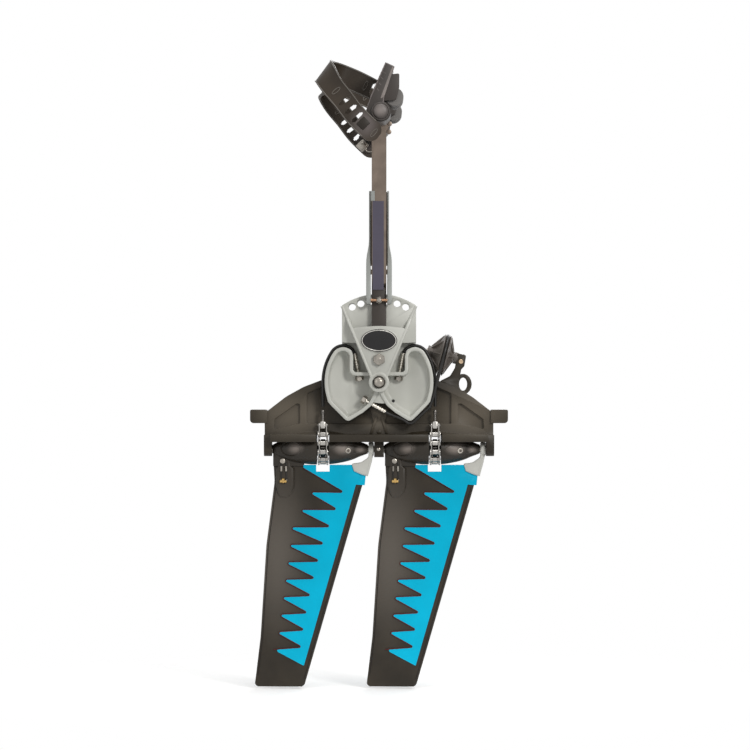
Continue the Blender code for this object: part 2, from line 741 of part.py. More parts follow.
def build_drum_fittings(name, side):
    inner = SHAFT_RADIUS + FIT
    outer = inner + BUSHING_WALL
    length = BOSS_OUTSIDE - BOSS_INSIDE - FIT
    profile = [(inner, 0), (outer, 0), (outer, length), (inner, length)]
    bushing = turned("drum_bushing_" + name, profile, at_shaft(side * BOSS_INSIDE), (0, side, 0))
    finish(bushing, BUSHING_PLASTIC)

    head = at_shaft(side * (BOSS_OUTSIDE + FIT), 0, BOLT_HEIGHT)
    outward = Vector((0, side, 0))
    bolt = rod("crank_bolt_" + name, head, head + outward * 5, BOLT_HEAD_ACROSS / math.sqrt(3), 6)
    shank_length = BOSS_OUTSIDE - SECTOR_INSIDE + 2
    join(bolt, rod("shank", head - outward * shank_length, head + outward, BOLT_RADIUS, 12))
    finish(bolt, STEEL)

    badge = [
        (BADGE_HALF_LENGTH * math.cos(a), SHAFT_HEIGHT + BADGE_HEIGHT + BADGE_HALF_HEIGHT * math.sin(a))
        for a in ring_angles(24)
    ]
    low, high = BOSS_OUTSIDE + FIT, BOSS_OUTSIDE + FIT + BADGE_THICKNESS
    finish(plate("badge_" + name, badge, *span(side, low, high)), DARK_PLASTIC)

    for end_name, end in (("rear", -1), ("front", 1)):
        start, along = stud_line(side, end)
        stud_name = "rope_stud_%s_%s" % (end_name, name)
        swage = rod(stud_name, start + along * STUD_LEAD, start + along * 21, STUD_RADIUS, 10)
        thread = rod("thread", start + along * 20, start + along * STUD_LENGTH, STUD_THREAD, 8)
        nut_start = start + along * 32.4
        nut = rod("stud_nut", nut_start, nut_start + along * 5.5, STUD_NUT_ACROSS / math.sqrt(3), 6)
        join(swage, thread, nut)
        finish(swage, STEEL)
        finish(build_chain_rope("chain_rope_%s_%s" % (end_name, name), side, end), BLACK_ROPE)

    start, stop = idler_terminal_line(side)
    way = (stop - start).normalized()
    swage = rod("idler_terminal_" + name, start, stop, STUD_RADIUS, 10)
    thread = rod("thread", start - way * 14, start + way, STUD_THREAD, 8)
    nut = rod("nut", start - way * 14, start - way * 9, STUD_NUT_ACROSS / math.sqrt(3), 6)
    join(swage, thread, nut)
    finish(swage, STEEL)


def build_chain_rope(name, side, end):
    """The rope from a chain's stud, up the rim and over the lobe's top to its swaged stud."""
    grow = ROPE_RADIUS + FIT
    path = rear_rim(grow, STUD_ANGLE)
    path += arc((0, 0), CHAIN_STATION, LOBE_CORNER_ANGLE, math.pi, 5)[1:]
    path.append(Vector((-CHAIN_STATION, CHAIN_STUD_TOP + FIT - SHAFT_HEIGHT)))
    lead = Vector((math.sin(STUD_ANGLE), -math.cos(STUD_ANGLE))) * (STUD_LEAD - FIT)
    path.insert(0, path[0] + lead)
    lane = side * SPROCKET_RADIUS
    return tube(name, [at_shaft(lane, -end * p.x, p.y) for p in path], ROPE_RADIUS)


def build_idler_rope():
    """One rope from the near drum's terminal, over the idler, to the far drum's terminal."""
    half = []
    start, stop = idler_terminal_line(-1)
    way = (stop - start).normalized()
    begin = stop + way * FIT
    half.append(begin)
    half.append(stop + way * 6)
    grow = ROPE_RADIUS + FIT
    for point in ((34.5, -53.8), (42.0, -59.0), (48.5, -58.4), (55.0, -52.0)):
        half.append(at_shaft(-IDLER_LANE, *point))
    rim = arc((0, 0), DRUM_RIM + grow, math.radians(-27), -IDLER_TILT, 3)
    half += [at_shaft(-IDLER_LANE, p.x, p.y) for p in rim]
    centre = idler_centre()
    upward = Vector((math.sin(IDLER_TILT), 0, math.cos(IDLER_TILT)))
    steps = 7
    for k in range(steps + 1):
        angle = math.pi / 2 * k / steps
        across = Vector((0, -IDLER_LANE * math.cos(angle), 0))
        half.append(centre + across + upward * IDLER_LANE * math.sin(angle))
    other = [Vector((p.x, -p.y, p.z)) for p in reversed(half[:-1])]
    finish(tube("idler_rope", half + other, ROPE_RADIUS), BLACK_ROPE)


# ---------------------------------------------------------------- cranks, latches and pedals


def crank_lane(height):
    """Lateral middle of the crank at a height: straight beside the drum, then splayed outward."""
    if height <= CRANK_BEND:
        return CRANK_LANE
    share = (height - CRANK_BEND) / (PEDAL_HEIGHT - 10 - CRANK_BEND)
    return CRANK_LANE + (PEDAL_EYE_LANE - CRANK_LANE) * share


def build_crank(name, side):
    half = CRANK_THICKNESS / 2
    top = PEDAL_HEIGHT - 8
    bolt_z = SHAFT_HEIGHT + BOLT_HEIGHT
    heights = [bolt_z, CRANK_BEND, PEDAL_HEIGHT - 10, top]
    lanes = [CRANK_LANE, CRANK_LANE, PEDAL_EYE_LANE, PEDAL_EYE_LANE]
    outline = [(side * (lane - half), z) for lane, z in zip(lanes, heights)]
    outline += [(side * (lane + half), z) for lane, z in reversed(list(zip(lanes, heights)))]
    crank = plate("crank_" + name, outline, -CRANK_WIDTH / 2, CRANK_WIDTH / 2, plane="YZ")
    low, high = side * (CRANK_LANE - half), side * (CRANK_LANE + half)
    foot = rod("foot", (0, low, bolt_z), (0, high, bolt_z), CRANK_WIDTH / 2)
    inside, outside = side * (PEDAL_EYE_LANE - half), side * (PEDAL_EYE_LANE + half)
    eye = rod(
        "eye",
        (PEDAL_FORWARD, inside, PEDAL_HEIGHT),
        (PEDAL_FORWARD, outside, PEDAL_HEIGHT),
        CAP_RADIUS,
    )
    reach = CRANK_WIDTH / 2 + 6
    stub = rod(
        "latch_stub",
        (-reach, side * CRANK_LANE, LATCH_PIVOT),
        (reach, side * CRANK_LANE, LATCH_PIVOT),
        LATCH_STUB_RADIUS,
        12,
    )
    join(crank, foot, eye, stub)
    far = side * 60
    pin_z = LATCH_PIN_HEIGHT
    cut(
        crank,
        rod("bolt_hole", (0, 0, bolt_z), (0, far, bolt_z), BOLT_RADIUS + FIT, 12),
        rod("pin_hole", (0, 0, pin_z), (0, far, pin_z), LATCH_PIN_RADIUS + FIT, 16),
        rod(
            "spindle_hole",
            (PEDAL_FORWARD, side * 50, PEDAL_HEIGHT),
            (PEDAL_FORWARD, side * 100, PEDAL_HEIGHT),
            SPINDLE_RADIUS + FIT,
        ),
    )
    finish(crank, BRONZE_TUBE)


def build_latch(name, side):
    """The grey handle beside the crank and the plunger that it lifts out of the sector's holes."""
    inner = CRANK_WIDTH / 2 + 0.5
    step = inner + 3.5
    pieces = []
    for way in (-1, 1):
        upper = [(33.0, 226.0), (34.0, 333.6), (50.0, 333.6), (43.0, 226.0)]
        lower = [(36.0, 172.0), (32.5, 232.0), (43.4, 232.0), (43.4, 200.0), (50.5, 186.0), (50.5, 172.0)]
        upper = rounded([(side * y, z, 1) for y, z in upper], 1)
        lower = rounded([(side * y, z, 2) for y, z in lower], 2)
        near, away = sorted((way * inner, way * (inner + FLANK_THICKNESS)))
        pieces.append(plate("upper_flank", upper, near, away, plane="YZ"))
        near, away = sorted((way * step, way * (step + FLANK_THICKNESS)))
        pieces.append(plate("lower_flank", lower, near, away, plane="YZ"))
        low, high = span(side, 33.0, 43.0)
        near, away = sorted((way * (inner + 0.4), way * (step + FLANK_THICKNESS - 0.4)))
        pieces.append(box("flank_step", (near, low, 227.5), (away, high, 230.5)))
    outside = inner + FLANK_THICKNESS / 2
    low, high = span(side, 36.0, 38.5)
    bridge = box("latch_handle_" + name, (-outside, low, 300), (outside, high, 333))
    join(bridge, *pieces)
    reach = step + FLANK_THICKNESS + 1
    hole = rod(
        "pivot_hole",
        (-reach, side * CRANK_LANE, LATCH_PIVOT),
        (reach, side * CRANK_LANE, LATCH_PIVOT),
        LATCH_STUB_RADIUS + FIT,
        12,
    )
    finish(cut(bridge, hole), GREY_CASTING)

    pin_z = LATCH_PIN_HEIGHT
    tip = side * (SECTOR_INSIDE + SECTOR_THICKNESS + FIT)
    pin = rod("latch_pin_" + name, (0, tip, pin_z), (0, side * 49, pin_z), LATCH_PIN_RADIUS, 16)
    ball = rod("ball", (0, side * 48, pin_z), (0, side * 52.5, pin_z), 4.0, 12, 2.4)
    cross_y = side * 48.2
    reach = step - FIT
    cross = rod("cross", (-reach, cross_y, pin_z), (reach, cross_y, pin_z), 1.8, 10)
    finish(join(pin, ball, cross), STEEL)


def pedal_point(forward, up):
    return (PEDAL_FORWARD + forward, PEDAL_HEIGHT + up)


def build_pedal(name, side):
    slab = [
        (7.7, 68.7, 2),
        (19.0, 63.3, 2),
        (5.0, 22.0, 3),
        (1.0, -8.0, 3),
        (-10.0, -12.0, 3),
        (-24.0, -12.0, 3),
        (-19.7, 3.6, 3),
        (-14.4, 19.7, 3),
    ]
    slab = rounded([(*pedal_point(x, z), r) for x, z, r in slab], 2)
    pedal = plate("pedal_" + name, slab, *span(side, PEDAL_INSIDE + 0.5, PEDAL_OUTSIDE - 0.5))
    start = Vector((PEDAL_FORWARD, side * PEDAL_INSIDE, PEDAL_HEIGHT))
    stop = Vector((PEDAL_FORWARD, side * PEDAL_OUTSIDE, PEDAL_HEIGHT))
    barrel = rod("barrel", start, stop, CAP_RADIUS + 2)
    ear = [(9.0, 53.0, 1), (27.0, 55.0, 2), (28.0, 34.0, 5), (22.0, 14.0, 4), (3.0, 13.0, 0)]
    ear = rounded([(*pedal_point(x, z), r) for x, z, r in ear], 2)
    ears = [plate("ear", ear, *span(side, low, low + 7)) for low in (PEDAL_INSIDE + 1, PEDAL_OUTSIDE - 8)]
    join(pedal, barrel, *ears)
    roller_x, roller_z = pedal_point(19.0, 21.1)
    middle = Vector((roller_x, side * (PEDAL_INSIDE + PEDAL_OUTSIDE) / 2, roller_z))
    out = Vector((0, side, 0))
    reach = (PEDAL_OUTSIDE - PEDAL_INSIDE) / 2
    room = rod("roller_room", middle - out * (reach - 8), middle + out * (reach - 8), ROLLER_RADIUS + FIT)
    pin_hole = rod("roller_hole", middle - out * (reach - 2), middle + out * (reach - 2), 4 + FIT, 14)
    cut(pedal, room, pin_hole, rod("bore", start - out * 5, stop + out * 5, SPINDLE_RADIUS + FIT))
    finish(pedal, DARK_PLASTIC)

    wheel = reach - 8 - FIT
    roller = rod("pedal_roller_" + name, middle - out * wheel, middle + out * wheel, ROLLER_RADIUS)
    pin = rod("pin", middle - out * (reach - 2.3), middle + out * (reach - 2.3), 4, 14)
    finish(join(roller, pin), GREY_CASTING)

    inside = Vector((PEDAL_FORWARD, side * (PEDAL_EYE_LANE - 6), PEDAL_HEIGHT))
    spindle = rod("pedal_spindle_" + name, inside, stop + out * 2, SPINDLE_RADIUS)
    rings = [(0, CAP_RADIUS), (2.5, CAP_RADIUS), (5.0, 10.0), (CAP_DEPTH, 5.5)]
    cap = [(radius, depth) for depth, radius in rings]
    profile = [(0, 0), *cap, (0, CAP_DEPTH)]
    dome = turned("cap", profile, stop + out * FIT, out)
    finish(join(spindle, dome), DARK_PLASTIC)


def smoothed(points, steps):
    """A Catmull-Rom curve through the points, with this many steps between neighbours."""
    last = len(points) - 1
    curve = []
    for i in range(last):
        before, here = points[max(i - 1, 0)], points[i]
        following, beyond = points[i + 1], points[min(i + 2, last)]
        for k in range(steps):
            t = k / steps
            curve.append(
                here
                + (following - before) * (t / 2)
                + (before * 2 - here * 5 + following * 4 - beyond) * (t * t / 2)
                + (here * 3 - before - following * 3 + beyond) * (t * t * t / 2)
            )
    return [*curve, points[-1]]


def strap_stations(side):
    """Middle points of the strap and the direction of its width, from the pedal's spindle."""
    return [
        # forward, lateral, up, width direction (forward, up)
        (-13.0, 82.7, 39.0, (0.41, 0.91)),
        (-32.0, 82.7, 48.0, (0.42, 0.91)),
        (-56.0, 84.0, 58.0, (0.5, 0.87)),
        (-74.0, 98.0, 62.5, (0.6, 0.8)),
        (-81.0, 123.0, 62.0, (0.64, 0.77)),
        (-79.0, 148.0, 55.0, (0.66, 0.75)),
        (-68.0, 163.0, 36.0, (0.7, 0.72)),
        (-52.0, 166.0, 16.0, (0.76, 0.65)),
        (-36.0, 166.0, -5.0, (0.76, 0.65)),
        (-20.0, 166.0, -25.0, (0.76, 0.65)),
        (-10.0, 166.0, -37.0, (0.76, 0.65)),
    ]


def build_strap(name, side):
    """The foot strap: a flat rubber band that leaves the pedal's inner end and loops over the foot."""
    stations = strap_stations(side)
    middles = [Vector((PEDAL_FORWARD + x, side * y, PEDAL_HEIGHT + z)) for x, y, z, _ in stations]
    widths = [Vector((station[3][0], 0, station[3][1])) for station in stations]
    middles, widths = smoothed(middles, 2), smoothed(widths, 2)
    rings = []
    last = len(middles) - 1
    for i, (middle, wide) in enumerate(zip(middles, widths)):
        along = (middles[min(i + 1, last)] - middles[max(i - 1, 0)]).normalized()
        wide = (wide - along * wide.dot(along)).normalized() * STRAP_HALF_WIDTH
        thick = along.cross(wide).normalized() * STRAP_THICKNESS / 2
        rings.append([middle + wide + thick, middle - wide + thick, middle - wide - thick, middle + wide - thick])
    finish(loft("strap_" + name, rings), STRAP_RUBBER)

    x, z = pedal_point(-22.0, -12.3)
    low, high = span(side, 150.0, 164.1)
    buckle = box("strap_buckle_" + name, (x - 9, low, z - 20), (x + 9, high, z))
    finish(buckle, DARK_PLASTIC)


# ---------------------------------------------------------------- chains and fins


def build_chain(name, end):
    """The chain as one band under the sprocket, with the stud that each end hangs from."""
    inside = SPROCKET_RADIUS - CHAIN_HALF_THICKNESS + 1.2
    outside = SPROCKET_RADIUS + CHAIN_HALF_THICKNESS + 1.1
    centre = (0, FIN_AXIS_Z)
    outline = [Vector((-outside, CHAIN_TOP))]
    outline += arc(centre, outside, math.pi, 2 * math.pi, 16)
    outline += [Vector((outside, CHAIN_TOP)), Vector((inside, CHAIN_TOP))]
    outline += arc(centre, inside, 0, -math.pi, 16)
    outline.append(Vector((-inside, CHAIN_TOP)))
    middle = end * CHAIN_STATION
    chain = plate("chain_" + name, outline, middle - CHAIN_WIDTH / 2, middle + CHAIN_WIDTH / 2, plane="YZ")
    studs = []
    for side in (-1, 1):
        lane = side * SPROCKET_RADIUS
        start, stop = (middle, lane, CHAIN_TOP - 2), (middle, lane, CHAIN_STUD_TOP)
        studs.append(rod("chain_stud", start, stop, CHAIN_STUD_RADIUS, 10))
    finish(join(chain, *studs), STEEL)

    root = SPROCKET_RADIUS - CHAIN_HALF_THICKNESS - 0.6
    count = SPROCKET_TEETH * 4
    teeth = []
    for k in range(count):
        angle = 2 * math.pi * k / count
        radius = root + 1.4 * max(0.0, math.cos(SPROCKET_TEETH * angle))
        teeth.append((radius * math.cos(angle), FIN_AXIS_Z + radius * math.sin(angle)))
    low, high = middle - SPROCKET_WIDTH / 2, middle + SPROCKET_WIDTH / 2
    sprocket = plate("sprocket_" + name, teeth, low, high, plane="YZ")
    hole = rod("core", (low - 5, 0, FIN_AXIS_Z), (high + 5, 0, FIN_AXIS_Z), HUB_CORE + FIT)
    finish(cut(sprocket, hole), STEEL)


def build_hub(name, end):
    """The black hub: a spindle with a slot all round for the chain, and an arm to the fin's tail."""
    middle = end * CHAIN_STATION
    bore = FIN_AXLE_RADIUS + FIT
    profile = [(bore, HUB_PROFILE[0][0])]
    for along, radius in HUB_PROFILE:
        if along == -HUB_SLOT:
            profile += [(radius, -HUB_SLOT), (HUB_CORE, -HUB_SLOT)]
        elif along == HUB_SLOT:
            profile += [(HUB_CORE, HUB_SLOT), (radius, HUB_SLOT)]
        else:
            profile.append((radius, along))
    profile.append((bore, HUB_END))
    hub = turned("fin_hub_" + name, profile, (middle, 0, FIN_AXIS_Z), (1, 0, 0))
    arm = [(-72.6, -43.0, 0), (-72.6, FIN_TOP + FIT, 1), (-28.0, FIN_TOP + FIT, 1), (-24.0, -48.0, 0)]
    arm = rounded([(middle + x, z, r) for x, z, r in arm], 1)
    join(hub, plate("arm", arm, -4.5, 4.5))
    screw_x, screw_z = middle + 36.3, -39.5
    screw_hole = rod("screw_hole", (screw_x, -40, screw_z), (screw_x, -12, screw_z), SCREW_RADIUS + FIT, 12)
    pin_x, pin_z = middle - 58.6, -55.0
    pin_hole = rod("pin_hole", (pin_x, -10, pin_z), (pin_x, 10, pin_z), 2.0 + FIT, 12)
    finish(cut(hub, screw_hole, pin_hole), DARK_PLASTIC)
    pin = rod("outhaul_screw_" + name, (pin_x, -7.6, pin_z), (pin_x, -4.8, pin_z), 4.3, 16)
    tail = rod("tail", (pin_x, -5.5, pin_z), (pin_x, 7.0, pin_z), 2.0, 12)
    finish(join(pin, tail), STEEL)


def mast_line():
    """The mast's axis inside the fin, from the chain's station: top, bottom and direction."""
    way = (FIN_LEAD_BOTTOM - FIN_LEAD_TOP).normalized()
    top = FIN_LEAD_TOP + Vector((way.y, -way.x)) * MAST_INSET
    start = top - way * ((top.y + 72.0) / way.y)
    stop = top + way * ((MAST_BOTTOM - top.y) / way.y)
    return start, stop


def build_mast(name, end):
    middle = end * CHAIN_STATION
    base = [
        (66.0, -37.7, 0),
        (COLLAR_END, -37.7, 0),
        (72.9, -45.0, 3),
        (65.0, -77.5, 1),
        (44.3, -69.6, 1),
        (41.0, -58.6, 1),
        (66.0, -50.0, 3),
    ]
    base = rounded([(middle + x, z, r) for x, z, r in base], 2)
    mast = plate("fin_mast_" + name, base, -6.5, 6.5)
    start, stop = (middle + HUB_END + 0.4, 0, FIN_AXIS_Z), (middle + COLLAR_END, 0, FIN_AXIS_Z)
    collar = rod("collar", start, stop, COLLAR_RADIUS)
    top, bottom = mast_line()
    stick = rod("stick", (middle + top.x, 0, top.y), (middle + bottom.x, 0, bottom.y), MAST_RADIUS, 12)
    join(mast, collar, stick)
    bore = rod("bore", (middle + 60, 0, FIN_AXIS_Z), (middle + 80, 0, FIN_AXIS_Z), FIN_AXLE_RADIUS + FIT)
    finish(cut(mast, bore), GREY_MAST)


def fin_tail(z):
    """Where the trailing edge lies at a height, from the chain's station."""
    stations = ((-60.0, -71.6), (-85.0, -70.2), (-177.0, -82.5), (FIN_BEND, -90.8), (FIN_BOTTOM - 8, -101.0))
    for (z0, x0), (z1, x1) in zip(stations, stations[1:]):
        if z >= z1:
            return x0 + (x1 - x0) * (z - z0) / (z1 - z0)
    return stations[-1][1]


def fin_lead(z):
    share = (z - FIN_LEAD_TOP.y) / (FIN_LEAD_BOTTOM.y - FIN_LEAD_TOP.y)
    return FIN_LEAD_TOP.x + (FIN_LEAD_BOTTOM.x - FIN_LEAD_TOP.x) * share


def foil(name, end):
    """The fin's full foil, before its outline is cut: round nose, thin tail."""
    middle = end * CHAIN_STATION
    rings = []
    low = FIN_BOTTOM - 13
    for z in (-55.0, -90.4, -150.0, -215.0, low + 105, low + 50, low):
        lead, tail = fin_lead(z), fin_tail(z)
        chord = lead - tail
        thin = 1.0 + 0.12 * (z + 55.0) / 340.0
        half = [(0, 0.35), (1.3, 0.72), (4.0, 1.0), (11.0, 1.0), (chord * 0.45, 0.75), (chord, 0.0)]
        nose = [(lead - back, (FIN_TAIL + (FIN_NOSE - FIN_TAIL) * size) * thin) for back, size in half]
        ring = [(middle + x, y, z) for x, y in nose] + [(middle + x, -y, z) for x, y in reversed(nose)]
        rings.append(ring)
    return loft(name, rings)


def fin_outline(end):
    middle = end * CHAIN_STATION
    corners = [
        (-72.1, FIN_TOP, 3),
        (-70.2, -85.0, 20),
        (-82.5, -177.0, 80),
        (-90.8, FIN_BEND, 100),
        (-99.4, FIN_BOTTOM, 5),
        (-27.4, FIN_BOTTOM + 3.4, 5),
        (57.0, -90.4, 0),
        (60.4, -81.0, 1),
        (43.6, -72.8, 2),
        (37.0, FIN_TOP, 2),
    ]
    return rounded([(middle + x, z, r) for x, z, r in corners], 3)


def band_outline(end):
    """The blue stiffener: a strip behind the leading edge with a row of long pointed teeth."""
    middle = end * CHAIN_STATION
    border_top, border_bottom = Vector((48.0, -87.7)), Vector((-27.5, BAND_END))
    first_valley, last_valley = Vector((31.3, -100.6)), Vector((-29.7, BAND_END + 27.5))
    points = [border_bottom, border_top, Vector((61.0, -89.6)), Vector((64.0, -60.0))]
    points.append(Vector((-28.6, -60.0)))
    points.append(Vector((-28.6, -65.2)))
    for k in range(BAND_TEETH):
        share = k / (BAND_TEETH - 1)
        valley = first_valley.lerp(last_valley, share)
        tip_x = -22.2 - 15.5 * k if k < 3 else -54.7 - 2.9 * (k - 3)
        points.append(valley)
        points.append(Vector((tip_x, valley.y + 0.8 - 4.0 * share)))
    return [Vector((middle + p.x, p.y)) for p in points]


def build_fin(name, end):
    top, bottom = mast_line()
    middle = end * CHAIN_STATION
    way = (bottom - top).normalized()

    def bore():
        start, stop = top - way * 30, bottom + way * 1.0
        ends = (middle + start.x, 0, start.y), (middle + stop.x, 0, stop.y)
        return rod("mast_bore", *ends, MAST_RADIUS + FIT, 12)

    outline = fin_outline(end)
    band_shape = band_outline(end)
    notch_low, notch_high = middle - 10.2, middle + 9.5
    fin = foil("fin_blade_" + name, end)
    fairing = [(-66, FAIRING_HALF, -50), (-46, FAIRING_HALF, -50), (-66, FAIRING_HALF, -87)]
    fairing += [(-46, FAIRING_HALF, -87), (-64, 2.3, -107), (-50, 2.3, -107)]
    shell = [(middle + x, way * y, z) for x, y, z in fairing for way in (-1, 1)]
    join(fin, hull("outhaul_fairing", shell))
    keep_inside(fin, plate("fin_outline", outline, -20, 20))
    cut(fin, plate("band_room", band_shape, -21, 21), bore())
    finish(fin, FIN_RUBBER)

    band = foil("fin_band_" + name, end)
    keep_inside(band, plate("fin_outline", inset(outline, 0.05), -20, 20))
    keep_inside(band, plate("band_shape", inset(band_shape, FIT), -21, 21))
    cut(band, bore(), box("notch", (notch_low, -20, -70.5), (notch_high, 20, -55)))
    finish(band, BLUE_BAND)

    x, z = middle - 57.6, -83.6
    seat = -FAIRING_HALF - FIT
    nut = rod("outhaul_nut_" + name, (x, seat - 4.2, z), (x, seat, z), 5.2, 6)
    finish(nut, BRASS)


# ---------------------------------------------------------------- joint axes


def hang(made, pivot):
    """Parents a piece, and everything its Booleans use, to the empty on its joint's axis."""
    made.parent = pivot
    made.matrix_parent_inverse = Matrix.Translation(-pivot.location)
    for change in made.modifiers:
        if change.type == "BOOLEAN":
            hang(change.object, pivot)


def add_pivot(name, place, nodes, above=None):
    pivot = bpy.data.objects.new(name, None)
    pivot.empty_display_size = 20 * MM
    pivot.location = Vector(place) * MM
    PARTS.objects.link(pivot)
    if above:
        hang(pivot, above)
    for node in nodes:
        hang(bpy.data.objects[node], pivot)
    return pivot


def add_side_pivots(name, side):
    """Drum, crank, latch and pedal axes of one side, each carried by the one before it."""
    drum_pieces = ("drum", "drum_bushing", "crank_bolt", "badge", "idler_terminal")
    drum_pieces += ("rope_stud_front", "rope_stud_rear", "chain_rope_front", "chain_rope_rear")

    def named(*pieces):
        return ["%s_%s" % (piece, name) for piece in pieces]

    lane = side * CRANK_LANE
    drum = add_pivot("drum_axis_" + name, at_shaft(0), named(*drum_pieces))
    bolt = at_shaft(lane, 0, BOLT_HEIGHT)
    crank = add_pivot("crank_axis_" + name, bolt, named("crank", "pedal_spindle"), drum)
    add_pivot("latch_axis_" + name, (0, lane, LATCH_PIVOT), named("latch_handle"), crank)
    add_pivot("latch_pin_axis_" + name, (0, lane, LATCH_PIN_HEIGHT), named("latch_pin"), crank)
    eye = (PEDAL_FORWARD, side * (PEDAL_INSIDE + PEDAL_OUTSIDE) / 2, PEDAL_HEIGHT)
    add_pivot("pedal_axis_" + name, eye, named("pedal", "pedal_roller", "strap", "strap_buckle"), crank)


def add_fin_pivot(name, end):
    pieces = ("fin_hub", "sprocket", "fin_mast", "fin_blade", "fin_band", "outhaul_screw", "outhaul_nut")
    nodes = ["%s_%s" % (piece, name) for piece in pieces]
    add_pivot("fin_axis_" + name, (end * CHAIN_STATION, 0, FIN_AXIS_Z), nodes)


def main():
    build_spine()
    build_fixed_hardware()
    build_idler_pulley()
    for name, side in (("near", -1), ("far", 1)):
        build_drum(name, side)
        build_drum_fittings(name, side)
        build_crank(name, side)
        build_latch(name, side)
        build_pedal(name, side)
        build_strap(name, side)
        add_side_pivots(name, side)
    build_idler_rope()
    add_pivot("idler_axis", idler_centre(), ["idler_pulley"])
    for name, end in (("rear", -1), ("front", 1)):
        build_chain(name, end)
        build_hub(name, end)
        build_mast(name, end)
        build_fin(name, end)
        add_fin_pivot(name, end)


main()
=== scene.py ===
"""Looks of a pedal fin drive for a kayak, built around its frame.

X points to the bow, Y across the boat and Z up. Pieces are drawn in millimetres, and each
becomes an object in metres when it is mounted on its body.
"""

import math

import bmesh
import bpy
from mathutils import Matrix, Vector


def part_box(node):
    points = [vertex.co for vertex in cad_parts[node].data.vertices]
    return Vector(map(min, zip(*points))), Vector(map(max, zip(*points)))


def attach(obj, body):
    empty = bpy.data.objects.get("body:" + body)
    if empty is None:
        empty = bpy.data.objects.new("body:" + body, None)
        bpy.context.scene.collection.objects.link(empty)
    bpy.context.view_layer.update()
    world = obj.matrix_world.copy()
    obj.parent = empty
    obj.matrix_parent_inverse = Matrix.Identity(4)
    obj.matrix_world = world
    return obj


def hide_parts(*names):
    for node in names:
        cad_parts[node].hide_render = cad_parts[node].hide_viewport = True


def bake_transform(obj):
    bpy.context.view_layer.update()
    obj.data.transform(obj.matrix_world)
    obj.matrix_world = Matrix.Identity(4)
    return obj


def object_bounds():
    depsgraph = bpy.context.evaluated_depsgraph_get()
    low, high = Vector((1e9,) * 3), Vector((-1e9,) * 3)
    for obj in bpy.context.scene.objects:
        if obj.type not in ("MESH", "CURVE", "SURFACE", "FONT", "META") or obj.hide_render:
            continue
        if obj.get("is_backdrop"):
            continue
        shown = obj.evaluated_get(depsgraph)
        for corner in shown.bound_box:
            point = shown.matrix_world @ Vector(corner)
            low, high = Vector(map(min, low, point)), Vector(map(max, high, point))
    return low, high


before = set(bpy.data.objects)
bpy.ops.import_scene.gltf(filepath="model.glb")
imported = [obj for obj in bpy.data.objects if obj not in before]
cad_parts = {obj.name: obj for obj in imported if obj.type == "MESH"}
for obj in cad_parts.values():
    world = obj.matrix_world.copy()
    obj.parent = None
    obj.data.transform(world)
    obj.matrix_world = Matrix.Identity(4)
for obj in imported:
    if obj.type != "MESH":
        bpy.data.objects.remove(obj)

cad_low, cad_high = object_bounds()


# ---------------------------------------------------------------- studio
# A white room: one camera square to the drive's near side, a pale floor under the fins that
# keeps their soft shadow, and four large lamps at a plain level.

MM = 0.001
scene = bpy.context.scene
camera_distance = 4.5
view_width = 1.0875  # what the frame spans at the drive's middle plane
aim = Vector((-0.0058, 0, 0.06965))


def add_object(name, data):
    """A new object in the scene that holds this camera, lamp or mesh."""
    holder = bpy.data.objects.new(name, data)
    scene.collection.objects.link(holder)
    return holder


camera = bpy.data.cameras.new("camera")
camera.sensor_width = 36
camera.lens = camera.sensor_width * camera_distance / view_width
scene.camera = add_object("camera", camera)
scene.camera.location = aim + Vector((0, -camera_distance, 0))
scene.camera.rotation_euler = (math.pi / 2, 0, 0)
scene.view_settings.view_transform = "Standard"


def add_lamp(name, place, power, size, tint=(1, 1, 1)):
    """A square softbox that faces the drive."""
    lamp = bpy.data.lights.new(name, "AREA")
    lamp.energy = power
    lamp.size = size
    lamp.color = tint
    holder = add_object(name, lamp)
    holder.location = place
    holder.rotation_euler = (aim - Vector(place)).to_track_quat("-Z", "Y").to_euler()


warm_white = (1.0, 0.985, 0.96)
add_lamp("softbox_right", (1.75, -2.9, 1.5), 61, 0.7, warm_white)
add_lamp("softbox_left", (-2.4, -2.6, 0.7), 9, 1.8, warm_white)
add_lamp("softbox_top", (0.3, -0.4, 2.6), 30, 1.4)
add_lamp("softbox_back", (0.8, 2.6, 1.4), 28, 1.6)


def set_inputs(node, **values):
    """Gives a shader node's inputs their values, each by its label."""
    for label, value in values.items():
        node.inputs[label.replace("_", " ")].default_value = value
    return node


def add_node(tree, kind, **values):
    return set_inputs(tree.nodes.new("ShaderNode" + kind), **values)


def link_up(tree, *pairs):
    for source, target in pairs:
        tree.links.new(source, target)


def mix_to_surface(tree, factor, first, second, output):
    """Shows the first shader where the factor is nought and the second where it is one."""
    mixed = add_node(tree, "MixShader")
    link_up(
        tree, (factor, mixed.inputs[0]), (first.outputs[0], mixed.inputs[1]),
        (second.outputs[0], mixed.inputs[2]), (mixed.outputs[0], tree.nodes[output].inputs["Surface"]),
    )


def seen_directly(tree):
    """One for rays from the camera, a mirror or a glass, and nought for the rays that light things."""
    path = add_node(tree, "LightPath")
    seen = path.outputs["Is Camera Ray"]
    for kind in ("Is Glossy Ray", "Is Transmission Ray"):
        either = add_node(tree, "Math")
        either.operation = "MAXIMUM"
        link_up(tree, (seen, either.inputs[0]), (path.outputs[kind], either.inputs[1]))
        seen = either.outputs[0]
    return seen


world = bpy.data.worlds.new("white_room")
scene.world = world
world.use_nodes = True
room = world.node_tree
white = set_inputs(room.nodes["Background"], Color=(1, 1, 1, 1), Strength=1.0)
fill = add_node(room, "Background", Color=(1, 0.99, 0.975, 1), Strength=0.38)
mix_to_surface(room, seen_directly(room), fill, white, "World Output")

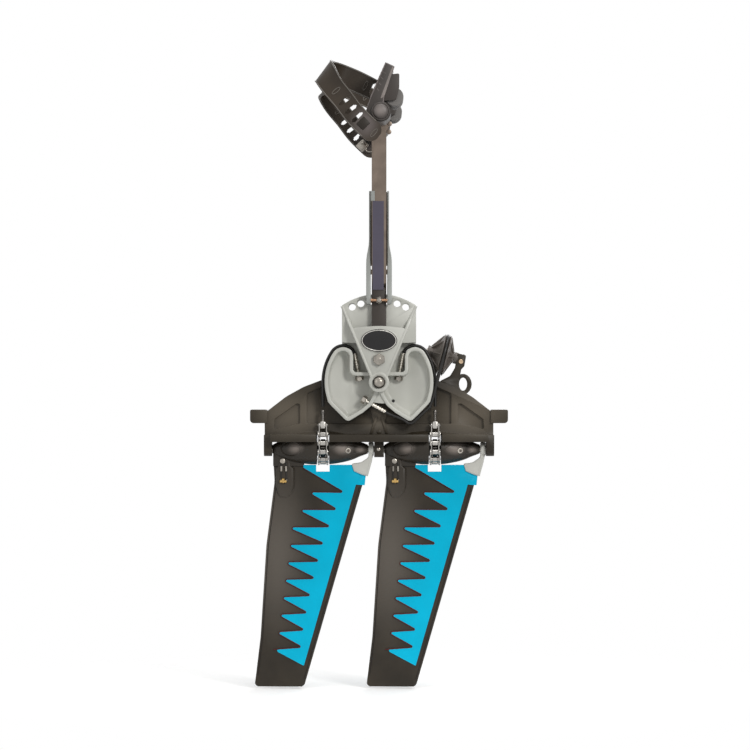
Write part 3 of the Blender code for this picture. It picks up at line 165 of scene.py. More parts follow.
floor_reach = 1.4
floor_bm = bmesh.new()
bmesh.ops.create_circle(floor_bm, cap_ends=True, segments=64, radius=floor_reach)
bmesh.ops.translate(floor_bm, vec=(0, 0, cad_low.z - 3 * MM), verts=floor_bm.verts)
floor_mesh = bpy.data.meshes.new("floor")
floor_bm.to_mesh(floor_mesh)
floor_bm.free()
floor = add_object("floor", floor_mesh)
floor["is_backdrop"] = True

floor_paint = bpy.data.materials.new("floor_paint")
floor_paint.use_nodes = True
paint = floor_paint.node_tree
shader = set_inputs(
    paint.nodes["Principled BSDF"], Base_Color=(0.93, 0.93, 0.93, 1), Roughness=0.9,
    Emission_Color=(1, 1, 1, 1), Emission_Strength=0.22,
)
distance = add_node(paint, "VectorMath")
distance.operation = "LENGTH"
fade = add_node(paint, "MapRange", From_Min=0.35, From_Max=0.75)
fade.interpolation_type = "SMOOTHSTEP"
link_up(
    paint, (add_node(paint, "TexCoord").outputs["Object"], distance.inputs[0]),
    (distance.outputs["Value"], fade.inputs["Value"]),
)
mix_to_surface(paint, fade.outputs["Result"], shader, add_node(paint, "BsdfTransparent"), "Material Output")
floor_mesh.materials.append(floor_paint)


# ---------------------------------------------------------------- spine
# One long beam moulded in black glass-filled nylon. It hangs in the hull by its two end tabs, and
# carries the drum shaft, the idler's post, the leash ring and, under its deck, both fin axles.


def grained(name, slot, colour, drift, stops, blotches, marks, relief, rough, bump, **shading):
    """A skin whose colour, roughness and height each follow a cloud of noise.

    A cloud is its scale, its detail and, if it runs in streaks, its stretch. The colour drifts by a
    share to both sides between two stops, and the bump is a strength and a depth in millimetres.
    """
    made = bpy.data.materials.new(name)
    made["slot"] = slot
    made.use_nodes = True
    tree = made.node_tree
    shader = set_inputs(tree.nodes["Principled BSDF"], **shading)
    places = add_node(tree, "TexCoord").outputs["Object"]

    def noise(scale, detail, stretch=(1, 1, 1)):
        spread = add_node(tree, "Mapping", Scale=stretch)
        cloud = add_node(tree, "TexNoise", Scale=scale, Detail=detail)
        link_up(tree, (places, spread.inputs["Vector"]), (spread.outputs[0], cloud.inputs["Vector"]))
        return cloud.outputs["Fac"]

    tint = add_node(tree, "ValToRGB")
    low, high = tint.color_ramp.elements
    low.position, high.position = stops
    low.color = (*[c * (1 - drift) for c in colour], 1)
    high.color = (*[min(1, c * (1 + drift)) for c in colour], 1)
    rubbed = add_node(tree, "MapRange", From_Min=0.3, From_Max=0.7, To_Min=rough[0], To_Max=rough[1])
    raised = add_node(tree, "Bump", Strength=bump[0], Distance=bump[1] * MM)
    worn = noise(*marks)
    link_up(
        tree, (noise(*blotches), tint.inputs["Fac"]), (tint.outputs["Color"], shader.inputs["Base Color"]),
        (worn, rubbed.inputs["Value"]), (rubbed.outputs["Result"], shader.inputs["Roughness"]),
        (worn if relief == marks else noise(*relief), raised.inputs["Height"]),
        (raised.outputs["Normal"], shader.inputs["Normal"]),
    )
    return made


def moulded(name, slot, colour, roughness=0.5, grain=0.35, drift=0.16, speck=1500.0, shine=0.5):
    """A moulded plastic or rubber: fine grain, colour that drifts slowly, and faint rubbed streaks."""
    return grained(
        name, slot, colour, drift, stops=(0.3, 0.72), blotches=(22, 6), marks=(70, 4, (1, 1, 0.3)),
        relief=(speck, 2), rough=(roughness - 0.07, roughness + 0.09), bump=(grain, 0.12),
        Specular_IOR_Level=shine,
    )


def paint_highlights(made, pale, areas):
    """Paints pale highlights onto a moulded skin over soft ovals, each given by its middle and reach."""
    tree = made.node_tree
    places = add_node(tree, "TexCoord").outputs["Object"]
    colour = tree.nodes["Principled BSDF"].inputs["Base Color"]
    for x, z, reach_x, reach_z in areas:
        centred = add_node(
            tree, "Mapping", Location=(-x / reach_x, 0, -z / reach_z),
            Scale=(1 / (reach_x * MM), 0, 1 / (reach_z * MM)),
        )
        oval = add_node(tree, "TexGradient")
        oval.gradient_type = "SPHERICAL"
        soft = add_node(tree, "ValToRGB")
        soft.color_ramp.interpolation = "EASE"
        blend = add_node(tree, "Mix")
        blend.data_type = "RGBA"
        factor, start, end = blend.inputs[0], blend.inputs[6], blend.inputs[7]
        end.default_value = (*pale, 1)
        link_up(
            tree, (places, centred.inputs["Vector"]), (centred.outputs[0], oval.inputs["Vector"]),
            (oval.outputs["Color"], soft.inputs["Fac"]), (soft.outputs["Color"], factor),
            (colour.links[0].from_socket, start), (blend.outputs[2], colour),
        )


def mount(name, bm, skin, body, stands_for=(), crease=34):
    """Turns a bmesh drawn in millimetres into a piece that rides on its body, if it has just one."""
    bmesh.ops.remove_doubles(bm, verts=bm.verts, dist=0.002)
    bmesh.ops.recalc_face_normals(bm, faces=bm.faces)
    bmesh.ops.scale(bm, vec=(MM, MM, MM), verts=bm.verts)
    mesh = bpy.data.meshes.new(name)
    bm.to_mesh(mesh)
    bm.free()
    mesh.materials.append(skin)
    mesh.shade_smooth()
    mesh.set_sharp_from_angle(angle=math.radians(crease))
    piece = add_object(name, mesh)
    if body:
        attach(piece, body)
    if stands_for:
        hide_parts(*stands_for)
    return piece


def round_edges(bm, width, edges=None, sharper_than=28, segments=2):
    """Rounds the given edges, or every edge that is sharper than an angle in degrees."""
    limit = math.radians(sharper_than)
    chosen = bm.edges if edges is None else edges
    sharp = [e for e in chosen if len(e.link_faces) == 2 and e.calc_face_angle(0) > limit]
    bmesh.ops.bevel(
        bm, geom=sharp, offset=width, offset_type="OFFSET", affect="EDGES",
        segments=segments, profile=0.5, material=-1, clamp_overlap=False,
    )


def spot(plane, u, v, depth):
    """A point from its place in a plane and its depth across it."""
    return Vector((u, depth, v) if plane == "XZ" else (depth, u, v))


def slab(bm, outline, low, high, holes=(), plane="XZ", soften=0.0, segments=2):
    """A flat outline, with its holes, made thick from low to high across its plane."""
    edges = []
    for loop in (outline, *holes):
        verts = [bm.verts.new(spot(plane, u, v, low)) for u, v in loop]
        edges += [bm.edges.new((verts[i - 1], verts[i])) for i in range(len(verts))]
    if holes:
        filled = bmesh.ops.triangle_fill(bm, use_beauty=True, edges=edges)["geom"]
        faces = [g for g in filled if isinstance(g, bmesh.types.BMFace)]
        inner = dict.fromkeys(e for f in faces for e in f.edges if e not in edges)
        bmesh.ops.dissolve_limit(bm, angle_limit=0.02, verts=[], edges=list(inner))
        faces = list(dict.fromkeys(f for e in edges for f in e.link_faces))
    else:
        faces = [bm.faces.new(verts)]
    grown = bmesh.ops.extrude_face_region(bm, geom=faces)["geom"]
    tops = [g for g in grown if isinstance(g, bmesh.types.BMVert)]
    bmesh.ops.translate(bm, vec=spot(plane, 0, 0, high - low), verts=tops)
    if soften:
        made = set(tops) | {v for e in edges if e.is_valid for v in e.verts}
        rims = [e for e in bm.edges if e.verts[0] in made and e.verts[1] in made]
        round_edges(bm, soften, rims, segments=segments)


def rounded(corners, steps=5):
    """An outline through (u, v, radius) corners, each rounded to its own radius."""
    points = []
    for i, (u, v, radius) in enumerate(corners):
        here = Vector((u, v))
        if not radius:
            points.append(here)
            continue
        back = (Vector(corners[i - 1][:2]) - here).normalized()
        on = (Vector(corners[(i + 1) % len(corners)][:2]) - here).normalized()
        half = back.angle(on) / 2
        centre = here + (back + on).normalized() * radius / math.sin(half)
        start = here + back * radius / math.tan(half) - centre
        end = here + on * radius / math.tan(half) - centre
        points += [centre + start.lerp(end, k / steps).normalized() * radius for k in range(steps + 1)]
    return points


def stood(origin, direction):
    """The matrix that puts an upright shape at origin and leans its axis along direction."""
    turn = Vector(direction).to_track_quat("Z", "Y").to_matrix().to_4x4()
    return Matrix.Translation(origin) @ turn


def lathe(bm, profile, origin, direction, steps=32, closed=False):
    """A profile of (radius, height) points spun about an axis from origin along direction."""
    place = stood(origin, direction)
    verts = [bm.verts.new(place @ Vector((r, 0, h))) for r, h in profile]
    edges = [bm.edges.new(pair) for pair in zip(verts, verts[1:])]
    if closed:
        edges.append(bm.edges.new((verts[-1], verts[0])))
    bmesh.ops.spin(
        bm, geom=verts + edges, cent=origin, axis=Vector(direction).normalized(), dvec=(0, 0, 0),
        angle=2 * math.pi, steps=steps, use_merge=True,
    )
    bmesh.ops.remove_doubles(bm, verts=bm.verts, dist=0.002)


def pin(bm, start, end, radius, chamfer=0.3, steps=20):
    """A round bar with small chamfers, from start to end."""
    start, end = Vector(start), Vector(end)
    length = (end - start).length
    profile = [
        (0, 0), (radius - chamfer, 0), (radius, chamfer),
        (radius, length - chamfer), (radius - chamfer, length), (0, length),
    ]
    lathe(bm, profile, start, end - start, steps)


def cross_pin(bm, middle, side, inner, outer, *size):
    """A round bar across the boat, between two distances from the drive's middle."""
    pin(bm, middle + Vector((0, side * inner, 0)), middle + Vector((0, side * outer, 0)), *size)


def span(side, inner, outer):
    """Two distances from the drive's middle as places across the boat, the lower one first."""
    return sorted((side * inner, side * outer))


black_nylon = moulded(
    "black_nylon", "black_casting", (0.030, 0.024, 0.016), roughness=0.42, grain=0.6, drift=0.3, speck=700.0,
    shine=0.24,
)
# Painted highlights: paler ovals over both ends of the beam and its middle stand in for light on its relief.
paint_highlights(black_nylon, (0.130, 0.110, 0.084), [(-125, 12, 75, 46), (128, 12, 80, 50), (0, 4, 40, 22)])

bm = bmesh.new()
bm.from_mesh(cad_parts["spine"].data)
bmesh.ops.scale(bm, vec=(1 / MM, 1 / MM, 1 / MM), verts=bm.verts)
bmesh.ops.remove_doubles(bm, verts=bm.verts, dist=0.01)
bmesh.ops.dissolve_limit(bm, angle_limit=math.radians(0.6), verts=bm.verts, edges=bm.edges)
round_edges(bm, 0.55)
web_face = 4.0  # the ribs and gussets below stand on both faces of the web
for side in (-1, 1):
    for end in (-1, 1):
        shelf = [(end * 7, -15.5, 0), (end * 60, -15.5, 0), (end * 62, -3.5, 2), (end * 46, -3.5, 3)]
        slab(bm, rounded(shelf), *span(side, web_face, 8.6), soften=0.8)
        leg = [(end * 13.5, -15.5, 0), (end * 9.5, -15.5, 0), (end * 2.0, 9.0, 1), (end * 5.5, 9.0, 1)]
        slab(bm, rounded(leg), *span(side, web_face, 11.5), soften=0.7)
    cross_pin(bm, Vector((0, 0, -12.6)), side, web_face, 11.0, 3.6, 0.8, 16)
mount("spine_casting", bm, black_nylon, "spine", ["spine"])


# ---------------------------------------------------------------- axles, screws and idler
# Stainless shafts and screws turned and rolled from bar, and the grooved idler pulley that leads
# one rope across the drive. The idler is moulded in black nylon with ribs on both of its cones.


def metal(name, slot, colour, roughness=0.28, wear=0.1, lines=(1, 1, 1)):
    """A worked metal: a hard reflection broken by fine scratches and patches of dulled surface."""
    scratches = (260, 4, lines)
    return grained(
        name, slot, colour, wear, stops=(0.32, 0.68), blotches=(60, 5), marks=scratches, relief=scratches,
        rough=(roughness - 0.08, roughness + 0.12), bump=(0.22, 0.05), Metallic=1.0,
    )


stainless = metal("stainless", "stainless_steel", (0.32, 0.295, 0.26), roughness=0.27, wear=0.35)
turned_brass = metal("turned_brass", "brass", (0.50, 0.33, 0.12), roughness=0.3, wear=0.15)
dark_nylon = moulded("dark_nylon", "dark_plastic", (0.022, 0.018, 0.014), roughness=0.42, shine=0.22)
pale_brass = metal("pale_brass", "brass", (0.50, 0.38, 0.26), roughness=0.32, wear=0.25)
idler_nylon = moulded(
    "idler_nylon", "dark_plastic", (0.110, 0.095, 0.084), roughness=0.36, drift=0.35, shine=0.4
)


def hexagon(bm, start, end, across, chamfer=0.8):
    """A six-sided nut or head with its corners turned off at both ends."""
    start, end = Vector(start), Vector(end)
    place = stood(start, end - start)
    height = (end - start).length
    corner = across / math.sqrt(3)
    rings = []
    for share, radius in (
        (0, across / 2 - 0.2), (chamfer * 0.5, corner - 0.1), (chamfer * 0.5 + 0.1, corner),
        (height - chamfer - 0.1, corner), (height - chamfer, corner - 0.1), (height, across / 2 - 0.3),
    ):
        ring = []
        for k in range(24):
            angle = 2 * math.pi * k / 24
            flat = across / 2 / math.cos((angle + math.pi / 6) % (math.pi / 3) - math.pi / 6)
            reach = min(flat, radius)
            ring.append(place @ Vector((reach * math.cos(angle), reach * math.sin(angle), share)))
        rings.append(ring)
    loft(bm, rings)


def loft(bm, rings, close_end=True):
    """A wall through closed rings of points, bridged one to the next and capped at its ends."""
    loops = []
    for ring in rings:
        verts = [bm.verts.new(p) for p in ring]
        loops.append((verts, [bm.edges.new((verts[i - 1], verts[i])) for i in range(len(verts))]))
    for (_, one), (_, other) in zip(loops, loops[1:]):
        bmesh.ops.bridge_loops(bm, edges=one + other)
    bm.faces.new(loops[0][0])
    if close_end:
        bm.faces.new(loops[-1][0])
    return loops[-1][0]


def merge(bm, other):
    """Moves everything from one bmesh into another."""
    holder = bpy.data.meshes.new("holder")
    other.to_mesh(holder)
    other.free()
    bm.from_mesh(holder)
    bpy.data.meshes.remove(holder)


def turned(bm, profile, middle, side, lateral, steps=32, closed=False):
    """A profile spun about an axis that runs across the boat, outward from a lateral distance."""
    lathe(bm, profile, middle + Vector((0, side * lateral, 0)), (0, side, 0), steps, closed)


def at_shaft(lateral, forward=0.0, up=0.0):
    """A point given from the middle of the drum shaft."""
    return Vector((forward, lateral, shaft_z + up))


shaft_low, shaft_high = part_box("main_shaft")
shaft_z = (shaft_low.z + shaft_high.z) / 2 / MM
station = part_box("sprocket_front")
station_x = (station[0].x + station[1].x) / 2 / MM  # fore and aft place of the chains
axle_z = (station[0].z + station[1].z) / 2 / MM
sides = (("near", -1), ("far", 1))
boss_end = 46.0  # lateral distance of a drum's outer boss face
shaft_reach = 55.0 - 1.6  # to the foot of the shaft's domed end

bm = bmesh.new()
pin(bm, at_shaft(-shaft_reach), at_shaft(shaft_reach), 6.0, 0.5, 32)
for _, side in sides:
    crown = [(0, 1.5), (2.2, 1.45), (4.2, 1.0), (5.4, 0.2), (5.6, -0.4), (5.6, -3.0), (0, -3.0)]
    turned(bm, crown, at_shaft(0), side, shaft_reach, 24)
mount("drum_shaft", bm, stainless, "spine", ["main_shaft"])

for name, side in sides:
    bm = bmesh.new()
    hexagon(bm, at_shaft(side * (boss_end + 0.9)), at_shaft(side * (boss_end + 6.0)), 13.6, 1.4)
    mount("lock_nut_" + name, bm, stainless, "spine", ["shaft_nut_" + name])
    bm = bmesh.new()
    washer = [(6.4, 0), (8.5, 0), (8.8, 0.2), (8.8, 0.7), (8.5, 0.9), (6.4, 0.9)]
    turned(bm, washer, at_shaft(0), side, boss_end + 0.15, 36, closed=True)
    mount("lock_washer_" + name, bm, dark_nylon, "spine")

for node in ("rear_fin_axle", "front_fin_axle"):
    low, high = [corner.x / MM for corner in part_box(node)]
    bm = bmesh.new()
    pin(bm, (low, 0, axle_z), (high, 0, axle_z), 5.0, 0.8, 28)
    mount(node + "_bar", bm, stainless, "spine", [node])

bm = bmesh.new()
block_low, block_high = [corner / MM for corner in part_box("centre_bearing_block")]
block = [(12, block_high.z, 0), (12, -49.4, 4), (-12, -49.4, 4), (-12, block_high.z, 0)]
slab(bm, rounded(block), block_low.x, block_high.x, plane="YZ", soften=0.8)
for _, side in sides:
    for lift in (-5.2, 5.2):
        rib = [(5.6 * u, axle_z + lift + 0.8 * v, 0.7) for u, v in ((-1, -1), (1, -1), (1, 1), (-1, 1))]
        slab(bm, rounded(rib, 2), *span(side, 11.5, 12.4), soften=0.25)
mount("axle_block", bm, black_nylon, "spine", ["centre_bearing_block"])

bm = bmesh.new()
head = [(0, 1.6), (1.5, 1.5), (2.5, 1.0), (2.8, 0.3), (2.8, -1.5)]
for _, side in sides:
    turned(bm, head, Vector((-0.7, 0, axle_z)), side, 12.0, 20)
mount("axle_block_screws", bm, stainless, "spine")

bm = bmesh.new()
head = [(0, 0.4), (1.1, 0.4), (1.3, 1.2), (2.9, 1.2), (3.3, 0.8), (3.4, 0.0), (3.4, -2.0)]
for _, side in sides:
    turned(bm, head, Vector((118.5, 0, 89.1)), side, 8.0, 24)
mount("idler_post_screws", bm, pale_brass, "spine")

idler_tilt = math.radians(14.5)
idler_way = Vector((math.cos(idler_tilt), 0, -math.sin(idler_tilt)))
rope_radius = 2.25
rim_rope = 81.0  # rope centre on a drum's rim, from the drum shaft
idler_lane = 28.5  # lateral distance of the idler's rope, and its radius on the groove
idler_reach = 61.5  # along the rope, from the drum's rim to the idler's pivot
tangent = Vector((rim_rope * math.cos(idler_tilt), -rim_rope * math.sin(idler_tilt)))
idler_middle = at_shaft(
    0, tangent.x + idler_reach * math.sin(idler_tilt), tangent.y + idler_reach * math.cos(idler_tilt)
)

bm = bmesh.new()
pin(bm, idler_middle - idler_way * 26, idler_middle + idler_way * 29, 4.0, 0.6, 24)
mount("idler_pivot", bm, stainless, "spine", ["idler_axle"])

bm = bmesh.new()
groove = idler_lane - rope_radius - 0.3
profile = [
    (4.4, -24.4), (8.0, -24.4), (8.7, -23.8), (8.7, -17.0), (10.4, -14.6), (14.0, -12.0), (20.0, -8.8),
    (26.5, -6.0), (28.8, -5.2), (29.8, -4.5), (29.95, -3.8), (29.2, -3.2), (groove + 1.0, -2.5),
    (groove, -1.4),
    (groove, 1.4), (groove + 1.0, 2.5), (29.2, 3.2), (29.95, 3.8), (29.8, 4.5), (28.8, 5.2),
    (26.5, 5.8), (20.0, 7.4), (14.0, 9.2), (10.4, 10.8), (8.7, 12.6), (8.7, 14.4), (8.1, 14.9), (4.4, 14.9),
]
lathe(bm, profile, idler_middle, idler_way, 64, closed=True)
for rib in range(8):
    spoke = bmesh.new()
    slab(
        spoke, [(7.0, -12.0), (7.0, -21.5), (10.0, -19.5), (27.2, -6.6), (27.2, -5.2)], -0.9, 0.9, soften=0.35
    )
    slab(spoke, [(7.0, 10.0), (27.2, 5.0), (27.2, 6.4), (10.0, 13.4), (7.0, 14.2)], -0.9, 0.9, soften=0.35)
    about = Matrix.Rotation(math.pi / 4 * rib, 4, "Z")
    bmesh.ops.transform(spoke, matrix=stood(idler_middle, idler_way) @ about, verts=spoke.verts)
    merge(bm, spoke)
mount("idler_wheel", bm, idler_nylon, "idler", ["idler_pulley"])

bm = bmesh.new()
for start, stop in ((15.3, 21.0), (27.6, 29.0)):
    ring = [(4.2, start), (8.2, start), (8.6, start + 0.4), (8.6, stop - 0.4), (8.2, stop), (4.2, stop)]
    lathe(bm, ring, idler_middle, idler_way, 40, closed=True)
mount("idler_spacers", bm, idler_nylon, "spine")


# ---------------------------------------------------------------- drums
# Two grey drums of moulded nylon, each with two dished lobes that a rope wraps, a sector with
# seven holes that the crank locks into, and a slanting-walled shield that carries a badge.

grey_nylon = moulded(
    "grey_nylon", "grey_casting", (0.52, 0.525, 0.485), roughness=0.42, grain=0.25, drift=0.07
)
bearing_plastic = moulded("bearing_plastic", "bushing_plastic", (0.62, 0.60, 0.54), roughness=0.5, drift=0.08)

rim_radius = 78.45
lobe_corner = math.radians(147.6)  # where the rim ends and the lobe's upper corner begins
corner_outer = 17.7
corner_inner = 14.2
lobe_wall = 37.1  # fore and aft distance of the lobe's upright wall from the shaft
ledge_height = 14.5
drum_inside, dish_floor, drum_outside = 10.5, 14.4, 33.5  # lateral distances
boss_radius = 14.8
bolt_height = 32.5  # crank bolt above the drum shaft
hole_reach, hole_radius = 85.1, 5.3  # the sector's holes, placed about the crank bolt
badge_z = 59.7 + shaft_z
rim_width = 5.4
well_floor = 13.2


def inset(outline, distance):
    """The closed outline moved inward by a distance, corner by corner."""
    points = [Vector(p) for p in outline]
    count = len(points)
    area = sum(points[i - 1].x * points[i].y - points[i].x * points[i - 1].y for i in range(count))
    way = 1 if area > 0 else -1
    moved = []
    for i, here in enumerate(points):
        before = (here - points[i - 1]).normalized()
        after = (points[(i + 1) % count] - here).normalized()
        normal = Vector((-before.y - after.y, before.x + after.x)) * way
        moved.append(here + normal * distance / (1 + before.dot(after)))
    return moved


def circle(u, v, radius, steps=24, radius_v=None):
    """Points round a circle, or round an oval where the second radius is given."""
    turns = [2 * math.pi * k / steps for k in range(steps)]
    return [Vector((u + radius * math.cos(a), v + (radius_v or radius) * math.sin(a))) for a in turns]


def arc(u, v, radius, first, last, steps):
    """Points along a circle's arc between two angles."""
    turns = [first + (last - first) * k / steps for k in range(steps + 1)]
    return [Vector((u + radius * math.cos(a), v + radius * math.sin(a))) for a in turns]


def lobe_corners():
    """Centres of the two arcs that round a rear lobe's upper corner, outer and inner."""
    reach = rim_radius - corner_outer
    outer = Vector((reach * math.cos(lobe_corner), reach * math.sin(lobe_corner)))
    return outer, Vector((outer.x, outer.y + corner_outer - corner_inner))


def rear_lobe():
    """Outline of the rear lobe about the shaft, from its ledge over the top to its bottom tip."""
    outer, inner = lobe_corners()
    edge = [Vector((-lobe_wall, ledge_height + 4)), *arc(*inner, corner_inner, 0, math.pi / 2, 8)]
    edge += arc(*outer, corner_outer, math.pi / 2, lobe_corner, 7)[1:]
    edge += arc(0, 0, rim_radius, lobe_corner, math.radians(192), 16)[1:]
    lower = [
        (-75.6, -21.0, 0), (-73.6, -28.5, 3), (-68.6, -34.5, 4), (-45.4, -57.6, 7), (-23, -44, 30),
        (-10.6, -33.6, 20), (-1.2, -16.5, 0),
    ]
    edge += rounded(lower, 6)[1:]
    ledge = [(-1.2, ledge_height, 0), (-lobe_wall, ledge_height, 4), (-lobe_wall, ledge_height + 8, 0)]
    return edge + rounded(ledge, 4)[:-1]


def wall_line(height):
    """Half width between the shield's slanting walls at a height above the shaft."""
    return 11.3 + 0.415 * (height - 14.8)


def step_between(value, low, high):
    """Nought below the low value, one above the high, and an even curve between."""
    share = min(1.0, max(0.0, (value - low) / (high - low)))
    return share * share * (3 - 2 * share)


def floor_depth(x, z):
    """How far from the drive's middle a lobe's floor lies: high by the rim, deep by the boss."""
    return dish_floor + 10.5 * step_between(-x, 40, 80) + 1.5 * step_between(abs(z - 2), 20, 50)


def sink_floor(bm, ring, way, side):
    """Fills a lobe's floor with a fine grid that slopes inward, with a well beside the rear boss."""
    geometry = [bm.faces.new(ring)]
    for axis, low, high in ((0, -74, -4), (2, shaft_z - 54, shaft_z + 54)):
        place = low
        while place < high:
            at, normal = Vector(), Vector()
            at[axis] = way * place if axis == 0 else place
            normal[axis] = 1
            touched = dict.fromkeys(part for f in geometry for part in (f, *f.verts, *f.edges))
            cut = bmesh.ops.bisect_plane(bm, geom=list(touched), plane_co=at, plane_no=normal, dist=0.01)
            geometry = [g for g in cut["geom"] if isinstance(g, bmesh.types.BMFace)]
            place += 2.2
    edge = set(ring)
    for vert in {v for f in geometry for v in f.verts} - edge:
        x, z = way * vert.co.x, vert.co.z - shaft_z
        depth = floor_depth(x, z)
        if way > 0:
            brink = math.hypot((x + 14) / 22.5, (z + 8) / 20.0)
            depth = well_floor + (depth - well_floor) * step_between(brink, 0.93, 1.12)
        vert.co.y = side * depth


def dished_lobe(bm, way, side):
    """One lobe: a flat back, a rounded rim, and walls that sweep down to a hollow floor."""
    outline = rear_lobe()
    middle = Vector((-50, -2))
    hollow = inset(outline, rim_width)
    flange = (
        (0, drum_inside), (0, drum_outside - 1.4), (0.4, drum_outside - 0.5), (1.4, drum_outside),
        (rim_width - 1.4, drum_outside), (rim_width - 0.4, drum_outside - 0.5),
        (rim_width, drum_outside - 1.8),
    )
    rings = []
    for inward, lateral in flange:
        rings.append([at_shaft(side * lateral, way * p.x, p.y) for p in inset(outline, inward)])
    for share, climb in ((0.988, 0.62), (0.972, 0.33), (0.948, 0.15), (0.91, 0.04), (0.86, 0)):
        ring = []
        for point in hollow:
            p = middle + (point - middle) * share
            depth = floor_depth(*p)
            ring.append(at_shaft(side * (depth + (drum_outside - 2 - depth) * climb), way * p.x, p.y))
        rings.append(ring)
    sink_floor(bm, loft(bm, rings, close_end=False), way, side)


def lifted(points):
    """Points given from the drum shaft's height, as places in the frame."""
    return [(u, v + shaft_z) for u, v in points]


def sector_plate(bm, side):
    """The arched locking plate with seven through holes about the crank bolt, and the web below it."""
    crown = arc(0, bolt_height, 94.4, math.pi / 2 - 0.601, math.pi / 2 + 0.601, 24)
    left = [Vector((-53.4, 57.0)), Vector((-wall_line(56) - 1.5, 56)), Vector((-wall_line(5) - 1.5, 5))]
    outline = crown + left + [Vector((-p.x, p.y)) for p in reversed(left)]
    holes = []
    for k in range(-3, 4):
        turn = math.radians(9 * k)
        middle = hole_reach * math.sin(turn), bolt_height + hole_reach * math.cos(turn)
        holes.append(lifted(circle(*middle, hole_radius, 24)))
    slab(bm, lifted(outline), *span(side, 26, 30), holes, soften=0.6)
    web = [(-39.1, 13), (39.1, 13), (39.1, 48), (53.4, 48), (53.4, 59), (-53.4, 59), (-53.4, 48), (-39.1, 48)]
    slab(bm, lifted(web), *span(side, 11, 13), soften=0.3)
    shelf = [(-53.3, 57.1), (53.3, 57.1), (53.3, 60), (-53.3, 60)]
    slab(bm, lifted(shelf), *span(side, 11.3, 28), soften=0.5)


def shield(bm, side):
    """The front plate over the crank's foot and the two slanting walls that carry it."""
    brow = wall_line(78) + 1.0
    face = [(-9.0, 4, 0), (-brow, 77.5, 3), (0, 81.5, 160), (brow, 77.5, 3), (9.0, 4, 0)]
    slab(bm, lifted(rounded(face, 6)), *span(side, 42.5, 44.9), soften=0.9)
    slab(bm, circle(0, badge_z, 27.4, 48, 17.7), *span(side, 44.0, 46.0), soften=0.9)
    for way in (-1, 1):
        rings = []
        for height, top in ((3.0, 45.9), (40, 45.9), (77, 45.8), (83, 42.0), (91, 33.0), (109.0, 31.0)):
            ring = [
                (-0.6, 26.5), (5.0, 26.5), (4.8, top - 1.4), (4.0, top - 0.3), (2.6, top), (1.2, top - 0.3),
                (0, top - 1.4),
            ]
            rings.append([at_shaft(side * y, way * (wall_line(height) + u), height) for u, y in ring])
        loft(bm, rings)


badge_rim = metal("badge_rim", "stainless_steel", (0.62, 0.60, 0.56), roughness=0.3)
badge_face = moulded(
    "badge_face", "dark_plastic", (0.016, 0.015, 0.016), roughness=0.24, grain=0.1, drift=0.3, shine=0.3
)

for name, side in sides:
    drum = "drum_" + name
    bm = bmesh.new()
    for way in (1, -1):
        dished_lobe(bm, way, side)
    sector_plate(bm, side)
    shield(bm, side)
    boss = [
        (9.0, 7), (boss_radius - 0.6, 7), (boss_radius, 7.6), (boss_radius, boss_end - 1.8),
        (boss_radius - 0.5, boss_end - 0.6), (boss_radius - 1.8, boss_end), (10.6, boss_end), (9.2, 45.2),
        (9.0, 44.2),
    ]
    turned(bm, boss, at_shaft(0), side, 0, 56, closed=True)
    web = [(-14, -28), (-1.5, -13), (1.5, -13), (14, -30.5), (4, -31), (-6, -29.8)]
    slab(bm, lifted(web), *span(side, drum_inside, 30.5), soften=0.9)
    mount("drum_moulding_" + name, bm, grey_nylon, drum, [drum])

    # A black plug stands in a lobe's floor for the drain hole; its black is painted shade of the hole.
    bm = bmesh.new()
    deep = floor_depth(-20.6, -27.4)
    cross_pin(bm, at_shaft(0, 20.6, -27.4), side, deep - 1, deep + 1.0, 2.4, 0.2, 16)
    mount("drum_drain_shade_" + name, bm, badge_face, drum)

    bm = bmesh.new()
    sleeve = [(6.3, 0), (8.6, 0), (8.7, 0.3), (8.7, 38.4), (8.5, 38.7), (6.3, 38.7)]
    turned(bm, sleeve, at_shaft(0), side, 7.0, 40, closed=True)
    mount("drum_sleeve_" + name, bm, bearing_plastic, drum, ["drum_bushing_" + name])

    bm = bmesh.new()
    bolt = at_shaft(0, 0, bolt_height)
    hexagon(bm, bolt + Vector((0, side * 46.2, 0)), bolt + Vector((0, side * 51.2, 0)), 15.6, 0.8)
    cross_pin(bm, bolt, side, 25, 46.4, 4.0, 0.4, 20)
    turned(bm, [(0, 0.6), (2.4, 0.45), (3.6, 0.0)], bolt, side, 50.9, 24)
    mount("crank_bolt_head_" + name, bm, stainless, drum, ["crank_bolt_" + name])

    bm = bmesh.new()
    bead = ((0, 46.6), (0, 47.4), (0.25, 47.65), (0.85, 47.7), (1.1, 47.45), (1.1, 46.65))
    ovals = [(circle(0, badge_z, 24.9 - cut, 56, 15.2 - cut), y) for cut, y in bead]
    loft(bm, [[spot("XZ", *p, side * y) for p in oval] for oval, y in ovals])
    mount("badge_ring_" + name, bm, badge_rim, drum, ["badge_" + name])
    bm = bmesh.new()
    dome = ((1, 46.3), (1, 46.95), (0.97, 47.1), (0.9, 47.2), (0.6, 47.4), (0.25, 47.5))
    ovals = [(circle(0, badge_z, 25.9 * size, 56, 16.2 * size), y) for size, y in dome]
    loft(bm, [[spot("XZ", *p, side * y) for p in oval] for oval, y in ovals])
    mount("badge_dome_" + name, bm, badge_face, drum)


# ---------------------------------------------------------------- ropes and their terminals
# Steel cables coated in black plastic. Each chain hangs from a rope that wraps a lobe and ends in
# a swaged stud, held by a nut under the drum's ledge. One longer rope goes over the idler.

ends = (("rear", -1), ("front", 1))
coated_cable = moulded(
    "coated_cable", "coated_rope", (0.010, 0.009, 0.008), roughness=0.36, grain=0.2, drift=0.2, shine=0.35
)
# A paler copy of the stainless, painted lighter so that the swages, which sit in shade behind the lobe walls,
# read as lit.
lit_swage_steel = metal("lit_swage_steel", "stainless_steel", (0.66, 0.62, 0.55), roughness=0.3, wear=0.3)

